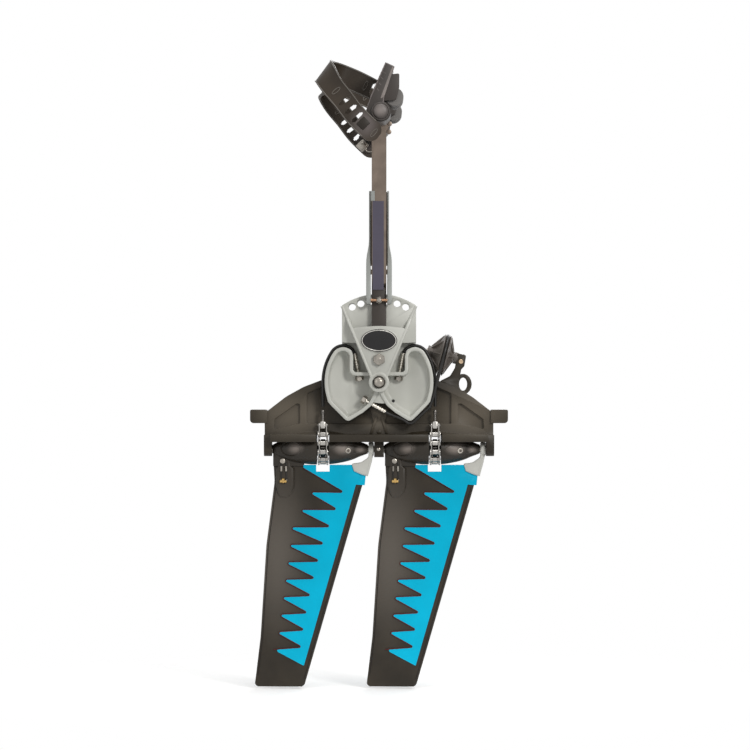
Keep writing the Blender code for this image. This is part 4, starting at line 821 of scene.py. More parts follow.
chain_lane = 18.568  # sideways distance of the chains and their ropes
stud_slant = math.radians(11)
rope_gap = rope_radius + 0.3  # from a lobe's wall to the middle of the rope on it
chain_hang = 24.1 - shaft_z  # where a chain's rope ends, from the drum shaft


def tube(bm, points, radius, steps=14):
    """A round cable or bead through points, without twist."""
    points = [Vector(p) for p in points]
    rings = []
    up = None
    for i, here in enumerate(points):
        back, on = points[max(i - 1, 0)], points[min(i + 1, len(points) - 1)]
        way = (on - back).normalized()
        if up is None:
            up = way.orthogonal().normalized()
        up = (up - way * up.dot(way)).normalized()
        across = way.cross(up)
        rings.append([
            here + (up * math.cos(a) + across * math.sin(a)) * radius
            for a in (2 * math.pi * k / steps for k in range(steps))
        ])
    loft(bm, rings)


def spaced(points, step):
    """The same path with a point at every step of its length."""
    points = [Vector(p) for p in points]
    dense = [points[0]]
    for back, on in zip(points, points[1:]):
        count = max(1, round((on - back).length / step))
        dense += [back.lerp(on, k / count) for k in range(1, count + 1)]
    return dense


def smooth_path(points, steps):
    """A Catmull-Rom curve through the points, with this many steps between neighbours."""
    points = [Vector(p) for p in points]
    last = len(points) - 1
    curve = []
    for i in range(last):
        before, here = points[max(i - 1, 0)], points[i]
        on, beyond = points[i + 1], points[min(i + 2, last)]
        for k in range(steps):
            t = k / steps
            curve.append(
                here + (on - before) * (t / 2) + (before * 2 - here * 5 + on * 4 - beyond) * (t * t / 2)
                + (here * 3 - before - on * 3 + beyond) * (t * t * t / 2)
            )
    return [*curve, points[-1]]


def swage(bm, nut, start, way, length, radius, nut_at, tail):
    """A segmented swaged sleeve with a threaded stud, and in a second mesh its nut and washer."""
    bands, thread = 6, 2.0
    profile = [(0, 0), (radius * 0.78, 0), (radius * 0.82, 0.6)]
    pitch = (length - 2) / bands
    for k in range(bands):
        at = 1.0 + k * pitch
        for size, share in ((1, 0), (1, 0.62), (0.8, 0.72), (0.8, 0.95)):
            profile.append((radius * size, at + pitch * share))
    profile += [(radius * 0.95, length - 0.6), (thread, length)]
    profile += [(thread, tail - 0.4), (thread - 0.4, tail), (0, tail)]
    lathe(bm, profile, start, way, 20)
    washer = ((thread, 0.9), (6.2, 0.9), (6.4, 0.6), (6.4, 0.2), (6.2, 0), (thread, 0))
    lathe(nut, [(r, nut_at - back) for r, back in washer], start, way, 24, closed=True)
    hexagon(nut, start + way * nut_at, start + way * (nut_at + 5.6), 10.6, 0.7)


outer_corner, inner_corner = lobe_corners()
for name, side in sides:
    drum = "drum_" + name
    for end_name, end in ends:
        path = arc(*inner_corner, corner_inner + rope_gap, stud_slant, math.pi / 2, 14)
        lead = Vector((math.sin(stud_slant), -math.cos(stud_slant)))
        begin = path[0]
        path.insert(0, begin + lead * 6.0)
        path += arc(*outer_corner, corner_outer + rope_gap, math.pi / 2, lobe_corner, 12)[1:]
        path += arc(0, 0, rim_rope, lobe_corner, math.pi, 16)[1:]
        path.append(Vector((-rim_rope, chain_hang)))
        path = [at_shaft(side * chain_lane, -end * p.x, p.y) for p in spaced(path, 2.4)]
        bm = bmesh.new()
        tube(bm, path, rope_radius)
        node = "chain_rope_%s_%s" % (end_name, name)
        rope = mount(node.replace("chain", "drive"), bm, coated_cable, None, [node])
        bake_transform(rope)

        start = at_shaft(side * chain_lane, -end * begin.x, begin.y)
        way = Vector((-end * math.sin(stud_slant), 0, -math.cos(stud_slant)))
        bm, nut = bmesh.new(), bmesh.new()
        swage(bm, nut, start - way * 2.2, way, length=23.4, radius=3.15, nut_at=34.6, tail=40.6)
        node = "rope_stud_%s_%s" % (end_name, name)
        mount(node.replace("stud", "swage"), bm, lit_swage_steel, drum, [node])
        mount(node.replace("stud", "nut"), nut, stainless, drum)

    start, stop = at_shaft(side * idler_lane, -11.5, -31.2), at_shaft(side * idler_lane, 9.4, -42.9)
    sleeve = (start - stop).length
    bm, nut = bmesh.new(), bmesh.new()
    way = (start - stop) / sleeve
    swage(bm, nut, stop, way, length=sleeve, radius=3.0, nut_at=sleeve + 9.0, tail=sleeve + 14.0)
    mount("idler_rope_swage_" + name, bm, lit_swage_steel, drum, ["idler_terminal_" + name])
    mount("idler_rope_nut_" + name, nut, stainless, drum)

    # The idler's rope leaves the swage, wraps the front lobe's lower edge and rim, and runs up
    # to the idler. Its lead is a piece with no body, and its turn on the idler's groove rides on the spine.
    path = [stop, stop + (stop - start) / sleeve * 6]
    under = [(34.5, -53.8), (42.0, -59.0), (48.5, -58.4), (55.0, -52.0)]
    rim = arc(0, 0, rim_rope, math.radians(-27), -idler_tilt, 6)
    path += [at_shaft(side * idler_lane, *p) for p in [*under, *rim]]
    leave = path[-1]
    reach_up = idler_middle + Vector((0, side * idler_lane, 0))
    bm = bmesh.new()
    tube(bm, spaced(smooth_path(path, 3) + [leave.lerp(reach_up, 0.45)], 2.4), rope_radius)
    lead = mount("idler_rope_lead_" + name, bm, coated_cable, None, ["idler_rope"] if side < 0 else [])
    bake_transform(lead)
    bm = bmesh.new()
    upward = Vector((math.sin(idler_tilt), 0, math.cos(idler_tilt)))
    turn = [leave.lerp(reach_up, 0.45)]
    turn += [idler_middle + (Vector((0, side * math.cos(a), 0)) + upward * math.sin(a)) * idler_lane
             for a in (math.pi / 2 * k / 18 for k in range(19))]
    tube(bm, spaced(turn, 2.4), rope_radius)
    mount("idler_rope_turn_" + name, bm, coated_cable, "spine")


# ---------------------------------------------------------------- cranks and latches
# Flat aluminium bars, bronze anodised, that splay outward above the drums and carry a bare
# label. A grey moulded handle lies along each one and lifts a steel plunger out of the sector.

anodised = metal(
    "anodised", "anodised_crank", (0.180, 0.144, 0.118), roughness=0.42, wear=0.14, lines=(1, 1, 0.06)
)
dark_sleeve = moulded("dark_sleeve", "dark_plastic", (0.044, 0.036, 0.031), roughness=0.45, shine=0.3)
bare_label = moulded(
    "bare_label", "dark_plastic", (0.075, 0.066, 0.100), roughness=0.3, grain=0.08, drift=0.12
)
handle_nylon = moulded(
    "handle_nylon", "grey_casting", (0.33, 0.345, 0.33), roughness=0.45, grain=0.25, drift=0.08
)
copper_pin = metal("copper_pin", "stainless_steel", (0.44, 0.26, 0.16), roughness=0.3)

crank_lane = 36.5  # lateral distance of the bar's middle beside the drum
eye_lane = 73.0  # and of its eye at the pedal
crank_bend = 190.0  # height where the bar starts to splay
pedal_up = 438.3
pedal_forward = 2.0
bolt_up = shaft_z + bolt_height
latch_pivot = 219.0
plunger_up = bolt_up + hole_reach


def lane_at(height):
    """Sideways middle of the crank at a height: straight beside the drum, then splayed outward."""
    share = max(0.0, (height - crank_bend) / (pedal_up - 10 - crank_bend))
    return crank_lane + (eye_lane - crank_lane) * min(1.0, share)


def bar(bm, side, heights, half_width, inner, outer, middle=0.0, chamfer=1.0):
    """A bar that follows the crank's splay, with its four long edges chamfered."""
    rings = []
    for height in heights:
        lane = lane_at(height)
        low, high = lane + inner, lane + outer
        ring = [
            (-half_width, low + chamfer), (-half_width + chamfer, low), (half_width - chamfer, low),
            (half_width, low + chamfer), (half_width, high - chamfer), (half_width - chamfer, high),
            (-half_width + chamfer, high), (-half_width, high - chamfer),
        ]
        rings.append([Vector((middle + u, side * y, height)) for u, y in ring])
    loft(bm, rings)


# The latch handle's side, from the top down: height, outer face, and its inner and outer edge.
lever_sections = (
    (333.6, 13.9, 35.4, 49.4), (332.6, 14.4, 34.4, 49.9), (300, 14.4, 33.7, 47.6), (264, 14.4, 33.2, 45.1),
    (256, 14.9, 33.1, 44.6), (249, 16.1, 33.0, 44.2), (242, 17.5, 32.9, 43.8), (235, 18.3, 32.8, 43.4),
    (226, 18.5, 32.8, 43.4), (205, 18.5, 34.4, 43.6), (197, 18.5, 36.2, 45.0), (190, 18.5, 37.0, 48.0),
    (184, 18.5, 37.4, 50.0), (176, 18.4, 37.8, 50.5), (172.6, 17.8, 38.6, 49.8), (171.4, 16.6, 39.8, 48.6),
)


for name, side in sides:
    crank = "crank_" + name
    bm = bmesh.new()
    heights = [plunger_up + 24, crank_bend + 4, crank_bend + 8, 260, 340]
    heights += [pedal_up - 16, pedal_up - 10, pedal_up - 8]
    bar(bm, side, heights, half_width=10.5, inner=-5, outer=5)
    eye = [(0, -5), (12.2, -5), (13, -4.2), (13, 4.2), (12.2, 5), (0, 5)]
    turned(bm, eye, Vector((pedal_forward, 0, pedal_up)), side, eye_lane, 48)
    hook = circle(14.8, pedal_up - 10.5, 3.6, 20)
    slab(bm, hook, *span(side, eye_lane - 2, eye_lane + 2), soften=0.6)
    pin(bm, (-17.5, side * crank_lane, latch_pivot), (17.5, side * crank_lane, latch_pivot), 2.5, 0.4, 16)
    mount("crank_bar_" + name, bm, anodised, crank, [crank])

    bm = bmesh.new()
    foot = circle(0, bolt_up, 10.5, 32)
    foot = [p for p in foot if p.y <= bolt_up + 0.01]
    foot = sorted(foot, key=lambda p: math.atan2(p.x, bolt_up - p.y))
    outline = [*foot, Vector((10.5, 201.2)), Vector((-10.5, 201.2))]
    slab(bm, outline, *span(side, 31.5, 41.2), soften=0.9)
    mount("crank_foot_" + name, bm, dark_sleeve, crank)

    bm = bmesh.new()
    heights = [192, 198, 240, 290, 318.5]
    bar(bm, side, heights, half_width=8.1, inner=4.7, outer=5.5, middle=-1.3, chamfer=0.25)
    mount("crank_label_" + name, bm, bare_label, crank)

    bm = bmesh.new()
    heights = [318.8, 322, 330, 332.8]
    bar(bm, side, heights, half_width=2.9, inner=4.6, outer=6.6, middle=-9.0, chamfer=0.7)
    mount("crank_clip_" + name, bm, handle_nylon, crank)

    bm = bmesh.new()
    for edge in (-1, 1):
        sections = []
        for height, far_x, low, high in lever_sections:
            box = [(12.0, low), (far_x, low), (far_x, high), (12.0, high)]
            ring = rounded([(u, v, 0.9) for u, v in box], 3)
            sections.append([Vector((edge * p.x, side * p.y, height)) for p in ring])
        loft(bm, sections)
    slab(bm, [(-12.6, 300), (12.6, 300), (12.6, 333), (-12.6, 333)], *span(side, 36.0, 38.5), soften=0.7)
    mount("latch_lever_" + name, bm, handle_nylon, "latch_handle_" + name, ["latch_handle_" + name])
    bm = bmesh.new()
    slab(bm, [(-12.1, 229), (12.1, 229), (12.1, 301), (-12.1, 301)], *span(side, 33.8, 35.4), soften=0.4)
    mount("latch_lever_back_" + name, bm, dark_sleeve, "latch_handle_" + name)

    bm = bmesh.new()
    plunger = Vector((0, 0, plunger_up))
    cross_pin(bm, plunger, side, 30.4, 48.6, 4.6, 0.8, 28)
    head = [
        (0, 46.5), (2.6, 46.6), (3.4, 47.6), (4.0, 49.6), (3.7, 51.2), (2.8, 52.2), (1.4, 52.5), (0, 52.55),
    ]
    turned(bm, [(r, y - 46.5) for r, y in head], plunger, side, 46.5, 28)
    level = side * 48.2, plunger_up  # the cross pin's place on the plunger
    for edge in (-1, 1):
        pin(bm, (edge * 12.6, *level), (edge * 13.8, *level), 2.7, 0.5, 20)
    mount("latch_plunger_" + name, bm, stainless, "latch_pin_" + name, ["latch_pin_" + name])
    bm = bmesh.new()
    for start, stop, radius, chamfer in (
        (-12.8, 12.8, 1.8, 0.2), (-9.5, -8.2, 2.3, 0.3), (8.2, 9.5, 2.3, 0.3)
    ):
        pin(bm, (start, *level), (stop, *level), radius, chamfer, 20)
    mount("latch_cross_pin_" + name, bm, copper_pin, "latch_pin_" + name)


# ---------------------------------------------------------------- pedals
# Each pedal is a hollow nylon block on the end of its crank, ribbed across for grip, with moulded
# side plates and two ears that carry a roller. It turns on a steel spindle under a domed cap.

pedal_nylon = moulded(
    "pedal_nylon", "dark_plastic", (0.140, 0.117, 0.112), roughness=0.48, grain=0.8, drift=0.18, speck=700.0
)
pedal_rib = moulded(
    "pedal_rib", "dark_plastic", (0.22, 0.192, 0.178), roughness=0.5, grain=0.8, drift=0.2, speck=700.0
)
pedal_shade = moulded("pedal_shade", "dark_plastic", (0.040, 0.033, 0.029), roughness=0.5, shine=0.35)
roller_rubber = moulded("roller_rubber", "dark_plastic", (0.15, 0.142, 0.135), roughness=0.5, grain=0.6)
grip_rubber = moulded(
    "grip_rubber", "dark_plastic", (0.044, 0.040, 0.037), roughness=0.6, grain=0.5, shine=0.35
)

pedal_slab = [
    (7.7, 68.7, 2), (19, 63.3, 2), (5, 22, 3), (1, -8, 3), (-10, -12, 3), (-24, -12, 3), (-19.7, 3.6, 3),
    (-14.4, 19.7, 3),
]
pedal_ear = [(9, 53, 1), (27, 55, 2), (28, 34, 5), (22, 14, 4), (3, 13, 0)]
tread_low, tread_high = Vector((-14.4, 19.7)), Vector((7.7, 68.7))
roller_place = Vector((19.0, 0, 21.1))  # from the spindle
inner, outer = 84.5, 161.5  # lateral distances of a pedal's two ends


def spindle_of(name):
    """The middle of a pedal's spindle, at the drive's middle plane."""
    low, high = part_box("pedal_spindle_" + name)
    return Vector(((low.x + high.x) / 2, 0, (low.z + high.z) / 2)) / MM


def placed(outline, where):
    """The same outline about another point."""
    return [(u + where.x, v + where.z, *rest) for u, v, *rest in outline]


def plate(bm, outline, middle, side, low, high, soften):
    """A rounded outline about a point, made thick between two lateral distances."""
    slab(bm, rounded(placed(outline, middle)), *span(side, low, high), soften=soften)


def shrunk(outline, by):
    """The same outline with every corner moved towards its middle."""
    middle = sum((Vector(p[:2]) for p in outline), Vector((0, 0))) / len(outline)
    moved = []
    for u, v, *rest in outline:
        step = (middle - Vector((u, v))).normalized() * by
        moved.append((u + step.x, v + step.y, *rest))
    return moved


for name, side in sides:
    spindle = spindle_of(name)
    body = "pedal_" + name

    bm = bmesh.new()
    plate(bm, shrunk(pedal_slab, 1.2), spindle, side, inner, outer, 0.6)
    cross_pin(bm, spindle, side, 84.2, 161.2, 14.6, 0.8, 40)
    for start, end in ((85.3, 91.7), (154.3, 160.7)):
        plate(bm, shrunk(pedal_ear, 1.8), spindle, side, start, end, 0.8)
    mount("pedal_core_" + name, bm, pedal_shade, body, ["pedal_" + name])

    bm = bmesh.new()
    for start, end in ((inner + 0.2, inner + 5.0), (outer - 5.0, outer - 0.2)):
        plate(bm, pedal_slab, spindle, side, start, end, 0.9)
    face = side * (outer - 0.6)
    rim = shrunk(pedal_slab, 0.5)
    for (u, v, _), (s, t, _) in zip(rim, rim[1:] + rim[:1]):
        here = Vector((spindle.x + u, face, spindle.z + v))
        there = Vector((spindle.x + s, face, spindle.z + t))
        if (there - here).length > 18:
            tube(bm, [here, there], 1.0, 10)
    for k in range(4):
        start = Vector((spindle.x + 2 - 2.3 * k, face, spindle.z + 56 - 8 * k))
        tube(bm, [start, start + Vector((5.6 - k, 0, -3.2))], 0.7, 8)
    mount("pedal_sides_" + name, bm, pedal_nylon, body)
    bm = bmesh.new()
    gusset = [
        (16.2, 62.4, 1), (18.2, 61.6, 1), (5.6, 22.0, 1), (-1.5, 15.0, 1), (2.5, 26.0, 2), (12.0, 52.0, 2),
    ]
    plate(bm, gusset, spindle, side, outer - 1, outer + 0.4, 0.35)
    mount("pedal_gusset_" + name, bm, pedal_rib, body)

    bm = bmesh.new()
    along = (tread_high - tread_low).normalized()
    out = Vector((-along.y, along.x))
    for k in range(9):
        foot = tread_low + along * (4.0 + 5.6 * k)
        corners = [
            foot + along * u + out * v for u, v in ((-1.7, -0.8), (-1.0, 1.0), (1.0, 1.0), (1.7, -0.8))
        ]
        ridge = [(p.x + spindle.x, p.y + spindle.z) for p in corners]
        slab(bm, ridge, *span(side, inner + 0.6, outer - 0.6), soften=0.4)
    mount("pedal_grip_" + name, bm, grip_rubber, body)

    bm = bmesh.new()
    centre = spindle + roller_place
    tread = [(3.9, -30.5), (12.4, -30.5), (13.2, -29.4)]
    for k in range(11):
        middle = -25 + 5 * k
        tread += [(13.2, middle - 1.9), (12.3, middle - 1.2), (12.3, middle + 1.2), (13.2, middle + 1.9)]
    tread += [(13.2, 29.4), (12.4, 30.5), (3.9, 30.5)]
    lathe(bm, tread, centre + Vector((0, side * (inner + outer) / 2, 0)), (0, 1, 0), 40)
    mount("pedal_roller_tread_" + name, bm, roller_rubber, body, ["pedal_roller_" + name])
    bm = bmesh.new()
    cross_pin(bm, centre, side, 86.5, 159.5, 3.8, 0.4, 20)
    mount("pedal_roller_pin_" + name, bm, stainless, body)

    bm = bmesh.new()
    cross_pin(bm, spindle, side, 67.3, 163, 5.9, 0.4, 28)
    mount("pedal_axle_" + name, bm, stainless, "crank_" + name, ["pedal_spindle_" + name])
    cap_nylon = moulded("cap_nylon_" + name, "dark_plastic", (0.050, 0.042, 0.038), roughness=0.4, shine=0.4)
    # Painted highlight: the cap's dome is paler over its middle, standing in for the light it catches.
    paint_highlights(cap_nylon, (0.225, 0.197, 0.186), [(spindle.x - 0.5, spindle.z + 1.0, 13.5, 13.5)])
    bm = bmesh.new()
    dome = [
        (0, 0), (12.6, 0), (13.0, 0.4), (13.0, 1.9), (12.5, 2.4), (11.5, 2.5), (11.1, 2.1), (10.7, 2.5),
        (10.2, 3.7), (8.9, 5.0), (6.6, 5.9), (3.4, 6.4), (0, 6.5),
    ]
    turned(bm, dome, spindle, side, 162.3, 48)
    mount("pedal_cap_" + name, bm, cap_nylon, "crank_" + name)


# ---------------------------------------------------------------- foot straps
# A moulded rubber strap for each foot leaves the inner side of its pedal, arches over the instep
# and comes down outside to a steel buckle. It has a row of slots for setting its length.

strap_rubber = moulded(
    "strap_rubber", "strap_rubber", (0.036, 0.027, 0.019), roughness=0.46, grain=0.9, drift=0.3, speck=600.0,
    shine=0.24,
)
# Painted highlight: a paler oval over the strap's lower part stands in for light falling on it.
paint_highlights(strap_rubber, (0.140, 0.120, 0.116), [(-20, 422, 26, 30)])
strap_edge = moulded("strap_edge", "strap_rubber", (0.105, 0.092, 0.078), roughness=0.5, grain=0.3)

# Along a strap: forward, lateral and up from the spindle, which way its width runs (forward and up),
# and half that width.
strap_stations = [
    (-4, 82.7, 34.5, 0.41, 0.91, 14.6), (-32, 82.7, 48, 0.42, 0.91, 15.6), (-56, 84, 58, 0.50, 0.87, 15.6),
    (-74, 98, 61.0, 0.58, 0.81, 17.5), (-80, 123, 59.5, 0.59, 0.81, 19.0), (-78, 148, 54, 0.62, 0.78, 18.0),
    (-68, 163, 36, 0.70, 0.72, 16.2), (-52, 166, 16, 0.76, 0.65, 15.6), (-36, 166, -5, 0.76, 0.65, 15.6),
    (-18, 166, -23, 0.74, 0.67, 15.6), (-3, 166, -36, 0.72, 0.69, 15.6),
]
strap_steps, strap_columns = 20, 16
strap_thick = 2.6
keeper_row = 173
near_slots = (4, 140, 151, 162)  # the open slots, as rows of the strap's own grid from its inner end
sunk_slots = (13, 128, 190)


def strap_frames(side, spindle):
    """Points, width directions and outward normals at even steps along one strap."""
    path = smooth_path([(f, side * d, u) for f, d, u, *_ in strap_stations], strap_steps)
    wides = smooth_path([(w, half, r) for _, _, _, w, r, half in strap_stations], strap_steps)
    frames = []
    for i, (here, wide) in enumerate(zip(path, wides)):
        way = (path[min(i + 1, len(path) - 1)] - path[max(i - 1, 0)]).normalized()
        half, wide = wide.y, Vector((wide.x, 0, wide.z))
        wide = (wide - way * wide.dot(way)).normalized()
        frames.append((here + spindle, wide, wide.cross(way) * side, way, half))
    return frames


def strap_sheet(bm, frames):
    """A grid over the strap's middle surface, left open at its slots and rounded at its outer end."""
    rows = []
    last = len(frames) - 1
    for i, (here, wide, _, _, half) in enumerate(frames):
        left = min((frames[-1][0] - here).length + 0.8, half)
        reach = math.sqrt(half**2 - (half - left) ** 2) if i > last / 2 else half
        shares = [2 * k / strap_columns - 1 for k in range(strap_columns + 1)]
        rows.append([bm.verts.new(here + wide * share * reach) for share in shares])
    for i, (one, other) in enumerate(zip(rows, rows[1:])):
        for k in range(strap_columns):
            column = min(k, strap_columns - 1 - k)
            slot_rows = [i - row for row in near_slots]
            if any(column >= 4 and 0 <= at < 4 or column == 3 and 1 <= at < 3 for at in slot_rows):
                continue
            bm.faces.new((one[k], one[k + 1], other[k + 1], other[k]))


def thickened(bm, depth):
    """Gives an open sheet its thickness, half to each side."""
    bmesh.ops.recalc_face_normals(bm, faces=bm.faces)
    for v in bm.verts:
        v.co -= v.normal * depth / 2
    bmesh.ops.solidify(bm, geom=list(bm.faces), thickness=-depth)
    bmesh.ops.recalc_face_normals(bm, faces=bm.faces)


for name, side in sides:
    spindle = spindle_of(name)
    frames = strap_frames(side, spindle)
    body = "pedal_" + name

    bm = bmesh.new()
    strap_sheet(bm, frames)
    bm.normal_update()
    thickened(bm, strap_thick)
    strap = mount("strap_web_" + name, bm, strap_rubber, body, ["strap_" + name], crease=50)
    bevel = strap.modifiers.new("soft_rims", "BEVEL")
    bevel.width = 0.7 * MM
    bevel.segments = 2
    bevel.limit_method = "ANGLE"
    bevel.angle_limit = math.radians(50)

    bm = bmesh.new()
    for share in (-1, 1):
        for face in (-1, 1):
            line = [
                p + wide * share * (half - 1.3) + out * face * 1.3
                for p, wide, out, _, half in frames[2:-17:2]
            ]
            tube(bm, line, 0.8, 8)
    for row in sunk_slots:
        for face in (-1, 1):
            here, wide, out, way, _ = frames[row]
            loop = []
            for k in range(17):
                turn = 2 * math.pi * k / 16
                rim = here + wide * 7.0 * math.cos(turn) + way * 2.3 * math.sin(turn)
                loop.append(rim + out * face * 1.35)
            tube(bm, loop, 0.6, 6)
    mount("strap_beads_" + name, bm, strap_edge, body)

    bm = bmesh.new()
    here, wide, out, way, _ = frames[keeper_row]
    rings = []
    for along in (-6.6, 6.6):
        corners = (-7.4, -2.4), (7.4, -2.4), (7.4, 2.6), (-7.4, 2.6)
        rings.append([here + way * along + wide * across + out * depth for across, depth in corners])
    loft(bm, rings)
    round_edges(bm, 0.9, sharper_than=50)
    mount("strap_keeper_" + name, bm, dark_nylon, body)

    bm = bmesh.new()
    wire = [(-21, -16), (-14, -13), (-5, -17), (-4, -28), (-12, -33), (-21, -31), (-21, -16)]
    tube(bm, smooth_path([spindle + Vector((u, side * 157.5, v)) for u, v in wire], 4), 1.1, 10)
    tongue = [(-37, -25, 2), (-26, -14.5, 2), (-16, -24, 2), (-26.5, -35, 2)]
    plate(bm, tongue, spindle, side, 151, 153.5, 0.5)
    plate(bm, shrunk(tongue, 3.5), spindle, side, 150.4, 153.5, 0.4)
    mount("strap_buckle_frame_" + name, bm, stainless, body, ["strap_buckle_" + name])
    bm = bmesh.new()
    cross_pin(bm, spindle + Vector((-37.0, 0, -21.0)), side, 150.6, 157.1, 3.4, 0.6, 20)
    block = [(-33, -12, 2), (-24, -3, 2), (-11, -15, 2), (-20, -25, 2)]
    plate(bm, block, spindle, side, 152.0, 163.0, 0.8)
    mount("strap_buckle_stud_" + name, bm, dark_nylon, body)


# ---------------------------------------------------------------- chains and sprockets
# Half-inch roller chain in stainless steel, hung from its ropes by threaded studs. It lies round
# the lower half of a nine-tooth sprocket that is fixed to the middle of each fin's hub.

chain_steel = metal("chain_steel", "stainless_steel", (0.40, 0.385, 0.36), roughness=0.24, wear=0.2)
dark_steel = metal("dark_steel", "stainless_steel", (0.15, 0.14, 0.13), roughness=0.35, wear=0.2)

pitch = 12.7
plate_thick = 1.35
fin_places = [(name, "fin_" + name, end * station_x) for name, end in ends]


def chain_points():
    """Pin places down the near leg, round under the sprocket and up the far leg, as (lateral, up)."""
    points = []
    straight = -axle_z + 1.5  # length of each upright leg
    length = 2 * straight + math.pi * chain_lane
    count = int(length / pitch)
    start = (length - count * pitch) / 2
    for k in range(count + 1):
        s = start + k * pitch
        if s < straight:
            points.append((-chain_lane, axle_z + straight - s))
        elif s < straight + math.pi * chain_lane:
            turn = (s - straight) / chain_lane
            points.append((-chain_lane * math.cos(turn), axle_z - chain_lane * math.sin(turn)))
        else:
            points.append((chain_lane, axle_z + s - straight - math.pi * chain_lane))
    return [Vector(p) for p in points]


def link_outline(one, other, radius, waist):
    """A link plate round two pins, pinched in the middle."""
    along = (other - one).normalized()
    across = Vector((-along.y, along.x))
    middle = (one + other) / 2
    outline = []
    for centre, way, sign in ((one, -1, 1), (other, 1, -1)):
        for k in range(7):
            turn = math.pi * (k / 6 - 0.5)
            swing = across * sign * radius * math.sin(turn)
            outline.append(centre + along * way * radius * math.cos(turn) - swing)
        outline.append(middle + across * waist * (-sign))
    return outline


for name, body, middle_x in fin_places:
    plates, bm_pins = bmesh.new(), bmesh.new()
    points = chain_points()
    for i, (one, other) in enumerate(zip(points, points[1:])):
        offset = 6.1 if i % 2 else 4.5
        for way in (-1, 1):
            x = middle_x + way * offset
            outline = link_outline(one, other, 5.1 if i % 2 else 4.7, 3.6)
            slab(plates, outline, *sorted((x, x + way * plate_thick)), plane="YZ", soften=0.25, segments=1)
    for point in points:
        centre = Vector((middle_x, point.x, point.y))
        for bm, half, radius, chamfer, steps in ((bm_pins, 7.9, 1.9, 0.4, 14), (plates, 4.2, 3.9, 0.5, 18)):
            pin(bm, centre - Vector((half, 0, 0)), centre + Vector((half, 0, 0)), radius, chamfer, steps)
    for side in (-1, 1):
        y = side * chain_lane
        top = (points[0] if side < 0 else points[-1]).y
        eye = [
            (-3.6, 6.3, 2), (3.6, 6.3, 2), (4.4, -1.0, 3), (2.5, -4.6, 2), (-2.5, -4.6, 2), (-4.4, -1.0, 3),
        ]
        outline = rounded([(y + u, top + v, r) for u, v, r in eye])
        slab(plates, outline, middle_x - 3.4, middle_x + 3.4, plane="YZ", soften=0.5)
        stud = [(0, 0), (2.1, 0), (2.1, 1)]
        for k in range(9):
            stud += [(2.1, 1.2 + k), (1.85, 1.6 + k), (2.1, 2.0 + k)]
        stud += [(2.1, 11), (2.5, 11.3), (2.5, 12.6), (2.1, 13), (2.5, 13.4), (2.5, 16), (2.0, 17), (0, 17)]
        lathe(bm_pins, stud, Vector((middle_x, y, top + 5.5)), (0, 0, 1), 18)
    mount("chain_links_" + name, plates, chain_steel, "spine", ["chain_" + name], crease=40)
    mount("chain_pins_" + name, bm_pins, dark_steel, "spine")

    bm = bmesh.new()
    outline = []
    teeth, root, tip = 9, 12.6, 14.45
    for k in range(teeth):
        for share, radius in (
            (0, root), (0.16, root + 0.2), (0.34, tip - 0.4), (0.42, tip), (0.58, tip), (0.66, tip - 0.4),
            (0.84, root + 0.2),
        ):
            turn = 2 * math.pi * (k + share - 0.02) / teeth
            outline.append(Vector((radius * math.sin(turn), axle_z - radius * math.cos(turn))))
    bore = circle(0, axle_z, 10.4, 32)
    slab(bm, outline, middle_x - 3.3, middle_x + 3.3, [bore], plane="YZ", soften=0.5)
    mount("sprocket_teeth_" + name, bm, dark_steel, body, ["sprocket_" + name])


# ---------------------------------------------------------------- fin hubs
# Each fin turns on a boat-shaped hub moulded in black nylon, with scooped faces and a clamp pad
# that a set screw closes on the mast. A tail arm behind it carries the outhaul.

hub_profile = [(-73.4, 6.2), (-66, 10.2), (-58, 13.4), (-46, 17.6), (-34, 20.3), (-20, 22.0), (-8.8, 22.3)]
hub_nose = [(8.8, 22.1), (20, 20.8), (34, 18.0), (44, 14.9), (52, 11.4), (60, 8.4), (65.0, 6.4)]
hub_arm = [(-72.4, -43, 0), (-72.4, -62.5, 1), (-28.2, -62.5, 1), (-24.2, -48, 0)]
hub_steps = 48
scoop_middle, scoop_reach, scoop_depth = -50, 22, 6.5  # the hollow behind the sprocket, on both faces


def between(table, at):
    """Straight-line reading of a table of (place, value) pairs that runs up or down."""
    for (a, one), (b, other) in zip(table, table[1:]):
        if at <= b if a < b else at >= b:
            return one + (other - one) * min(max((at - a) / (b - a), 0), 1)
    return table[-1][1]


def hub_ring(x, radius, end_x):
    """A round section with its near and far faces pressed in over the scoop."""
    ring = []
    u = x - end_x
    for k in range(hub_steps):
        turn = 2 * math.pi * k / hub_steps
        y, z = radius * math.cos(turn), radius * math.sin(turn)
        flat = abs(math.cos(turn))
        along = 1 - ((u - scoop_middle) / scoop_reach) ** 2
        scoop = max(0.0, along) * max(0.0, flat - 0.45) * scoop_depth
        y -= math.copysign(min(scoop, abs(y) * 0.35), y) if abs(y) > 0.1 else 0
        ring.append(Vector((x, y, axle_z + z)))
    return ring


